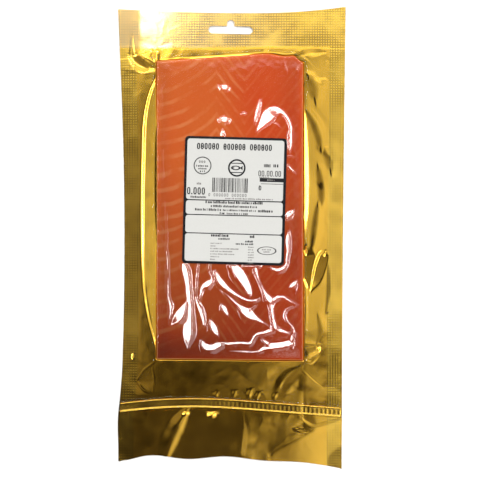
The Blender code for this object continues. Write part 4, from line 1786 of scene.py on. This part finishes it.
@dataclass
class Label:
    """The paper label: a black frame, four white panels and greeked print, draped over the slab.

    Sizes are in mm from the label's middle. Words are runs of plain blocks, and figures are noughts.
    """

    paper: float = 0.10
    panel: float = 0.03
    print_depth: float = 0.03
    corner: float = 2.6
    panel_corner: float = 1.8
    drape_step: float = 5.0
    drape_offset: float = 0.013
    panel_sides: Point = (-34.8, 34.6)
    panel_levels: Sequence[Point] = ((0.4, 43.9), (-10.2, -0.4), (-23.4, -10.9), (-43.8, -24.1))
    panel_white: Colour = (0.570, 0.570, 0.550)
    frame_roughness: float = 0.3
    panel_roughness: float = 0.42
    letter_widths: Point = (0.5, 1.1)
    short_letters: float = 0.6
    joined_letters: float = 0.75
    letter_gap: float = 0.28
    word_gap: float = 0.8
    bars: Point = (-16.3, 9.6)
    bar_levels: Point = (6.0, 16.2)
    bar_lean: float = 0.004
    bar_widths: Sequence[float] = (0.34, 0.34, 0.62, 0.9)
    bar_gaps: Sequence[float] = (0.36, 0.42, 0.7)
    ring_corners: int = 40
    point_size: float = 1.2
    point_pitch: float = 0.55
    nought_inset: float = 0.4
    seed: int = 7
    inks: dict[Ink, Mesh] = field(default_factory=lambda: {ink: bmesh.new() for ink in Ink})

    def slab(self, made: Mesh, low: Point, high: Point, corner: float, base: float, depth: float) -> None:
        """Adds a flat plate with round corners.

        Args:
            made: The mesh that it is added to.
            low: Its lower left corner.
            high: Its upper right corner.
            corner: Radius of its corners.
            base: Height of its underside over the label's.
            depth: Its thickness.
        """
        size = (high[0] - low[0], high[1] - low[1])
        middle = ((low[0] + high[0]) / 2.0, (low[1] + high[1]) / 2.0, base + depth / 2.0)
        place = Matrix.Translation(middle) @ Matrix.Diagonal((*size, depth, 1.0))
        verts = bmesh.ops.create_cube(made, size=1.0, matrix=place)["verts"]
        if corner:
            edges = {edge for vertex in verts for edge in vertex.link_edges}
            upright = [e for e in edges if abs(e.verts[0].co.z - e.verts[1].co.z) > depth / 2]
            bmesh.ops.bevel(
                made, geom=upright, offset=corner, segments=5, profile=0.5, affect="EDGES", material=-1
            )

    def block(self, ink: Ink, low: Point, high: Point) -> None:
        """Prints a plain block."""
        self.slab(self.inks[ink], low, high, 0.0, self.paper + self.panel, self.print_depth)

    def words(self, ink: Ink, low: Point, right: float, height: float, dense: float = 0.8) -> None:
        """Prints a line of greeked words.

        Args:
            ink: Its ink.
            low: Where the line starts.
            right: Where it ends.
            height: The words' height.
            dense: Share of a word's height that its blocks fill.
        """
        draw = random.Random(round(low[0] * 10.0) + round(low[1] * 100.0) + self.seed)
        at = low[0]
        while at < right - self.letter_widths[0]:
            stop = min(at + draw.uniform(*self.letter_widths), right)
            tall = height * (dense if draw.random() < self.short_letters else 1.0)
            self.block(ink, (at, low[1]), (stop, low[1] + tall))
            at = stop + (self.letter_gap if draw.random() < self.joined_letters else self.word_gap)

    def nought(self, ink: Ink, low: Point, size: Point, stroke: float, barred: bool = False) -> None:
        """Prints a nought as a hollow upright block.

        Args:
            ink: Its ink.
            low: Its lower left corner.
            size: Its width and height.
            stroke: Width of its stroke.
            barred: Whether a bar crosses its middle.
        """
        right, top = low[0] + size[0], low[1] + size[1]
        self.block(ink, (low[0], low[1] + stroke), (low[0] + stroke, top - stroke))
        self.block(ink, (right - stroke, low[1] + stroke), (right, top - stroke))
        edge = stroke * self.nought_inset
        heights = [low[1], top - stroke] + ([low[1] + (size[1] - stroke) / 2.0] if barred else [])
        for bottom in heights:
            self.block(ink, (low[0] + edge, bottom), (right - edge, bottom + stroke))

    def figures(self, ink: Ink, layout: str, low: Point, pitch: float, size: Point, stroke: float) -> None:
        """Prints a run of noughts with gaps and points.

        Args:
            ink: Its ink.
            layout: 0 for a nought, 8 for a barred one, a point for a point and a space for a gap.
            low: Lower left corner of the first.
            pitch: Distance from one to the next.
            size: Width and height of a nought.
            stroke: Width of its stroke.
        """
        at = low[0]
        for sign in layout:
            if sign == ".":
                wide = stroke * self.point_size
                self.block(ink, (at, low[1]), (at + wide, low[1] + wide))
                at += pitch * self.point_pitch
                continue
            if sign in "08":
                self.nought(ink, (at, low[1]), size, stroke, sign == "8")
            at += pitch

    def ring(self, ink: Ink, centre: Point, radii: Point, stroke: float) -> None:
        """Prints a round or oval line.

        Args:
            ink: Its ink.
            centre: Its middle.
            radii: Its half width and half height.
            stroke: Width of its line.
        """
        made = self.inks[ink]
        base = self.paper + self.panel
        outer = bmesh.ops.create_circle(made, cap_ends=True, segments=self.ring_corners, radius=1.0)["verts"]
        faces = list({f for v in outer for f in v.link_faces})
        bmesh.ops.translate(made, verts=outer, vec=(0.0, 0.0, base))
        inner = bmesh.ops.inset_region(
            made, faces=faces, thickness=stroke / min(radii), use_boundary=True, use_even_offset=True
        )
        middle = [f for f in faces if f.is_valid]
        band = inner["faces"]
        bmesh.ops.delete(made, geom=middle, context="FACES_ONLY")
        verts = list({v for f in band for v in f.verts})
        for vertex in verts:
            vertex.co.x = centre[0] + vertex.co.x * radii[0]
            vertex.co.y = centre[1] + vertex.co.y * radii[1]
        raised = bmesh.ops.extrude_face_region(made, geom=band)["geom"]
        raised = [v for v in raised if isinstance(v, bmesh.types.BMVert)]
        bmesh.ops.translate(made, verts=raised, vec=(0.0, 0.0, self.print_depth))

    def barcode(self) -> None:
        """Prints upright bars of uneven width and the noughts below them."""
        draw = random.Random(self.seed)
        at, right = self.bars
        bottom, top = self.bar_levels
        while at < right:
            width = draw.choice(self.bar_widths)
            low = bottom - (at - self.bars[0]) * self.bar_lean
            self.block(Ink.GREY, (at, low), (min(at + width, right), top))
            at += width + draw.choice(self.bar_gaps)
        self.figures(Ink.GREY, "0 000000 000000", (-18.8, 2.9), 1.86, (1.15, 2.1), 0.30)

    def top_panel(self) -> None:
        """Prints the upper panel: title, two round marks, date, weight and barcode."""
        self.figures(Ink.BLACK, "080080 800808 080800", (-27.9, 36.4), 2.71, (2.15, 4.4), 0.80)
        self.ring(Ink.GREY, (-23.6, 24.7), (6.4, 6.4), 0.75)
        self.figures(Ink.GREY, "000", (-26.2, 26.6), 1.7, (1.1, 1.6), 0.35)
        self.words(Ink.GREY, (-28.2, 23.8), -18.9, 1.3)
        self.words(Ink.GREY, (-26.6, 21.9), -20.6, 1.1)
        self.words(Ink.GREY, (-25.4, 19.9), -21.8, 1.4)
        self.ring(Ink.BLACK, (1.0, 23.6), (6.3, 6.3), 1.15)
        self.ring(Ink.BLACK, (0.2, 23.6), (3.4, 1.6), 0.62)
        self.block(Ink.BLACK, (-1.6, 23.2), (-0.9, 23.9))
        for step in range(4):
            at, spread = step * 0.45, 0.42 * step
            self.block(Ink.BLACK, (3.3 + at, 23.4 - spread), (3.8 + at, 23.8 + spread))
        self.block(Ink.BLACK, (-3.0, 20.0), (5.0, 20.6))
        self.block(Ink.BLACK, (-3.0, 26.6), (5.0, 27.2))
        self.words(Ink.GREY, (20.4, 24.6), 25.6, 2.2, dense=0.95)
        self.words(Ink.BLACK, (27.2, 24.7), 31.8, 2.1, dense=0.95)
        self.figures(Ink.BLACK, "00.00.00", (16.6, 18.1), 2.35, (1.8, 4.0), 0.50)
        self.words(Ink.PALE, (17.2, 17.0), 25.0, 0.7)
        self.block(Ink.BLACK, (17.6, 14.1), (36.2, 16.9))
        self.words(Ink.PALE, (23.0, 14.9), 29.4, 1.1)
        self.block(Ink.GREY, (18.6, 12.5), (35.0, 12.9))
        self.block(Ink.GREY, (17.4, 8.4), (17.8, 11.6))
        self.nought(Ink.BLACK, (17.0, 8.0), (1.9, 3.2), 0.6)
        self.barcode()
        self.words(Ink.PALE, (-27.4, 11.0), -23.2, 1.6)
        self.figures(Ink.BLACK, "0.000", (-34.2, 3.9), 2.95, (2.3, 5.0), 0.78)
        self.words(Ink.GREY, (-31.6, 1.4), -20.6, 1.4)
        self.words(Ink.PALE, (-6.8, 1.0), 28.0, 1.1)

    def lower_panels(self) -> None:
        """Prints the second and the fourth panel: lines of text, a table and an oval mark."""
        for ink, low, right, height in (
            (Ink.BLACK, (-20.8, -2.2), 20.6, 1.7),
            (Ink.GREY, (-17.0, -4.9), 16.2, 1.6),
            (Ink.GREY, (-28.2, -7.6), -9.0, 1.7),
            (Ink.GREY, (-8.2, -7.5), 16.0, 1.3),
            (Ink.BLACK, (17.0, -7.8), 27.4, 1.9),
            (Ink.BLACK, (-10.4, -9.9), -6.0, 1.5),
            (Ink.GREY, (-5.4, -9.9), 10.2, 1.2),
            (Ink.BLACK, (-16.2, -26.0), -3.0, 1.9),
            (Ink.BLACK, (11.6, -26.3), 15.4, 1.9),
            (Ink.GREY, (-11.0, -28.1), -2.6, 1.3),
            (Ink.BLACK, (8.4, -29.6), 14.8, 1.4),
            (Ink.BLACK, (1.6, -31.4), 14.6, 1.2),
        ):
            self.words(ink, low, right, height)
        for row, right in enumerate((-8.6, -12.4, 4.0, -0.2, 1.4, -9.4, -12.6)):
            self.words(Ink.PALE, (-16.4, -31.2 - row * 1.92), right, 0.9)
            self.words(Ink.PALE, (10.6, -33.4 - row * 1.85), 14.6, 0.9)
        self.ring(Ink.GREY, (24.0, -35.2), (7.0, 3.0), 0.42)
        self.words(Ink.PALE, (20.6, -34.9), 27.4, 1.0)
        self.words(Ink.PALE, (21.6, -36.5), 26.4, 0.9)

    def drape(self, made: Mesh) -> None:
        """Cuts a flat part of the label into short steps and lays it over the film.

        Args:
            made: The part, in mm, which is changed to metres in place.
        """
        half = (HEIGHTS.label_size[0] / MM / 2.0, HEIGHTS.label_size[1] / MM / 2.0)
        for axis in (0, 1):
            for step in range(int(-half[axis] / self.drape_step), int(half[axis] / self.drape_step) + 1):
                cut, facing = [0.0] * 3, [0.0] * 3
                cut[axis], facing[axis] = step * self.drape_step + self.drape_offset, 1.0
                geometry = [*made.verts, *made.edges, *made.faces]
                bmesh.ops.bisect_plane(made, geom=geometry, plane_co=cut, plane_no=facing, dist=1e-5)
        bmesh.ops.scale(made, vec=(MM, MM, MM), verts=made.verts)
        bmesh.ops.rotate(made, matrix=Matrix.Rotation(HEIGHTS.label_turn, 3, "Z"), verts=made.verts)
        bmesh.ops.translate(made, vec=(*HEIGHTS.label_centre, 0.0), verts=made.verts)
        verts = list(made.verts)
        flat = places(verts)
        for vertex, height in zip(verts, HEIGHTS.label_under(flat[:, 0], flat[:, 1])):
            vertex.co.z += height

    def build(self, effects: Effects) -> list[bpy.types.Object]:
        """Builds the frame, the panels and the print.

        Args:
            effects: The shared node groups.

        Returns:
            The pieces.
        """
        half = (HEIGHTS.label_size[0] / MM / 2.0, HEIGHTS.label_size[1] / MM / 2.0)
        frame_mesh, panels = bmesh.new(), bmesh.new()
        self.slab(frame_mesh, (-half[0], -half[1]), half, self.corner, 0.0, self.paper)
        left, right = self.panel_sides
        for low, high in self.panel_levels:
            self.slab(panels, (left, low), (right, high), self.panel_corner, self.paper, self.panel)
        self.top_panel()
        self.lower_panels()
        finishes = [
            ("label_frame", frame_mesh, CoatedPaper("frame_ink", Ink.BLACK.value, self.frame_roughness)),
            ("label_panels", panels, CoatedPaper("label_paper", self.panel_white, self.panel_roughness)),
        ]
        for ink, made in self.inks.items():
            shade = ink.name.lower()
            finishes.append(("label_print_" + shade, made, CoatedPaper("ink_" + shade, ink.value)))
        pieces = []
        for name, made, finish in finishes:
            self.drape(made)
            bmesh.ops.recalc_face_normals(made, faces=made.faces)
            pieces.append(as_piece(name, made, finish.material(effects)))
        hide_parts("label")
        return pieces


# ---------------------------------------------------------------- studio


@dataclass
class Studio:
    """Floor, surround and camera."""

    camera_height: float = 0.82
    frame_width: float = 0.3464
    centre: Point = (0.0058, -0.0014)
    sensor: float = 36.0
    ring: float = 11.0
    ring_inside: Point = (0.35, 0.38)
    ring_outside: Point = (0.45, 0.48)
    ring_open: Point = (-0.75, -0.45)
    below: float = 0.6
    horizon: Point = (0.0, -0.05)
    reach: float = 0.25
    left: Sequence[Point] = (
        (-0.19, 0.07), (-0.172, 0.05), (-0.14, 0.03), (-0.128, 0.035), (-0.114, 0.08), (-0.104, 0.25),
        (-0.07, 0.32), (0.0, 0.23), (0.035, 0.28), (0.062, 0.34), (0.088, 0.31), (0.114, 0.37),
        (0.132, 0.50), (0.145, 0.80), (0.158, 0.86), (0.175, 1.05), (0.20, 1.25),
    )
    middle: Sequence[Point] = (
        (-0.20, 0.08), (-0.150, 0.06), (-0.144, 0.12), (-0.138, 0.14), (-0.125, 0.05), (-0.114, 0.045),
        (-0.106, 0.065), (-0.098, 0.038), (0.157, 0.040), (0.161, 0.68), (0.167, 0.70), (0.170, 1.28),
        (0.185, 1.25), (0.20, 1.40),
    )
    right: Sequence[Point] = (
        (-0.19, 0.95), (-0.17, 0.88), (-0.155, 0.85), (-0.138, 0.92), (-0.128, 0.85), (-0.121, 0.30),
        (-0.114, 0.10), (-0.10, 0.15), (-0.092, 0.55), (-0.083, 0.88), (-0.035, 1.00), (0.0, 1.00),
        (0.035, 1.04), (0.07, 0.80), (0.088, 0.98), (0.105, 0.84), (0.132, 1.02), (0.145, 0.92),
        (0.158, 0.56), (0.165, 0.60), (0.175, 1.10), (0.20, 1.35),
    )
    left_until: Point = (-0.082, -0.077)
    right_from: float = 0.056
    right_seam: float = 0.002
    head_from: Point = (0.150, 0.157)
    right_full: float = 0.170
    right_least: float = 0.25
    lamps: Sequence[tuple[float, float, float, float, float]] = (
        (-0.088, 0.201, 0.044, 0.030, 7.0),
        (-0.078, 0.180, 0.020, 0.022, 3.0),
        (0.010, -0.116, 0.066, 0.012, 0.30),
        (0.050, -0.188, 0.036, 0.026, 0.90),
        (0.044, -0.110, 0.026, 0.024, 0.85),
    )
    warm: Colour = (1.0, 0.88, 0.80)
    white: Colour = (1.0, 0.995, 0.98)
    warm_until: Point = (0.05, 0.6)
    floor_half: float = 3.0
    floor_white: Colour = (0.96, 0.96, 0.96)
    floor_roughness: float = 0.8

    def surround(self) -> None:
        """A soft dome: a bright arc round its crown, open towards the mouth, and an even glow elsewhere."""
        world = bpy.data.worlds.new("surround")
        bpy.context.scene.world = world
        world.use_nodes = True
        graph = Graph(world.node_tree)
        axes = graph.split(graph.add("TexCoord").outputs["Generated"])
        x, y = axes[0], axes[1]
        square = graph.total(graph.product(x, x), graph.product(y, y))
        off = graph.math("SQRT", square)
        outside = graph.ramp(off, *self.ring_outside, to_low=1.0, to_high=0.0)
        upward = graph.ramp(graph.math("DIVIDE", y, off), *self.ring_open)
        ring = graph.product(graph.ramp(off, *self.ring_inside), outside, upward, self.ring)
        left = graph.profile(y, self.reach, self.left)
        middle = graph.profile(y, self.reach, self.middle)
        right = graph.profile(y, self.reach, self.right)
        reached = graph.ramp(x, self.right_from, self.right_full, self.right_least, 1.0)
        reached = graph.math("MAXIMUM", reached, graph.ramp(y, *self.head_from))
        right = graph.product(right, reached)
        glow = graph.blend(graph.ramp(x, *self.left_until), left, middle)
        seam = graph.ramp(x, self.right_from - self.right_seam, self.right_from + self.right_seam)
        glow = graph.blend(seam, glow, right)
        for lamp in self.lamps:
            glow = graph.total(glow, self.lamp(graph, (x, y), *lamp))
        background = world.node_tree.nodes["Background"]
        total = graph.total(glow, ring)
        total = graph.blend(graph.ramp(axes[2], *self.horizon), total, self.below)
        graph.feed(background.inputs["Strength"], total)
        tone = graph.mix(graph.ramp(total, *self.warm_until), self.warm, self.white)
        graph.feed(background.inputs["Color"], tone)

    def lamp(
        self,
        graph: Graph,
        towards: tuple[Socket, Socket],
        at_x: float,
        at_y: float,
        half_x: float,
        half_y: float,
        power: float,
    ) -> Socket:
        """A soft round lamp on the dome.

        Args:
            graph: The world's graph.
            towards: The direction across and along.
            at_x: Where the lamp's middle lies across.
            at_y: Where it lies along.
            half_x: Half its width.
            half_y: Half its height.
            power: Its strength in the middle.

        Returns:
            Its strength in each direction.
        """
        across = graph.math("DIVIDE", graph.math("SUBTRACT", towards[0], at_x), half_x)
        along = graph.math("DIVIDE", graph.math("SUBTRACT", towards[1], at_y), half_y)
        off = graph.total(graph.product(across, across), graph.product(along, along))
        return graph.ramp(graph.math("SQRT", off), 1.0, 0.0, 0.0, power)

    def floor(self, effects: Effects) -> None:
        """A pale floor below the pack.

        Args:
            effects: The shared node groups.
        """
        made = bmesh.new()
        bmesh.ops.create_grid(made, x_segments=2, y_segments=2, size=self.floor_half)
        mesh = bpy.data.meshes.new("floor")
        made.to_mesh(mesh)
        made.free()
        paper = CoatedPaper("floor_paper", self.floor_white, self.floor_roughness)
        mesh.materials.append(paper.material(effects))
        floor = bpy.data.objects.new("floor", mesh)
        bpy.context.scene.collection.objects.link(floor)

    def camera(self) -> None:
        """A camera that looks straight down on the pack."""
        camera = bpy.data.objects.new("camera", bpy.data.cameras.new("camera"))
        camera.data.sensor_width = self.sensor
        camera.data.lens = self.sensor * self.camera_height / self.frame_width
        camera.location = (*self.centre, self.camera_height)
        bpy.context.scene.collection.objects.link(camera)
        bpy.context.scene.camera = camera

    def build(self, effects: Effects) -> None:
        """Sets up the whole studio.

        Args:
            effects: The shared node groups.
        """
        self.camera()
        self.floor(effects)
        self.surround()
        bpy.context.scene.view_settings.view_transform = "Standard"


def main() -> None:
    """Builds the pack and its studio, and reports each piece."""
    logging.basicConfig(level=logging.INFO, format="%(message)s")
    effects = Effects()
    pieces = [*Pouch().build(effects), *SalmonSlab().build(), *Label().build(effects)]
    Studio().build(effects)
    for piece in pieces:
        LOG.info("%s: %d faces", piece.name, len(piece.data.polygons))


if __name__ == "__main__":
    main()
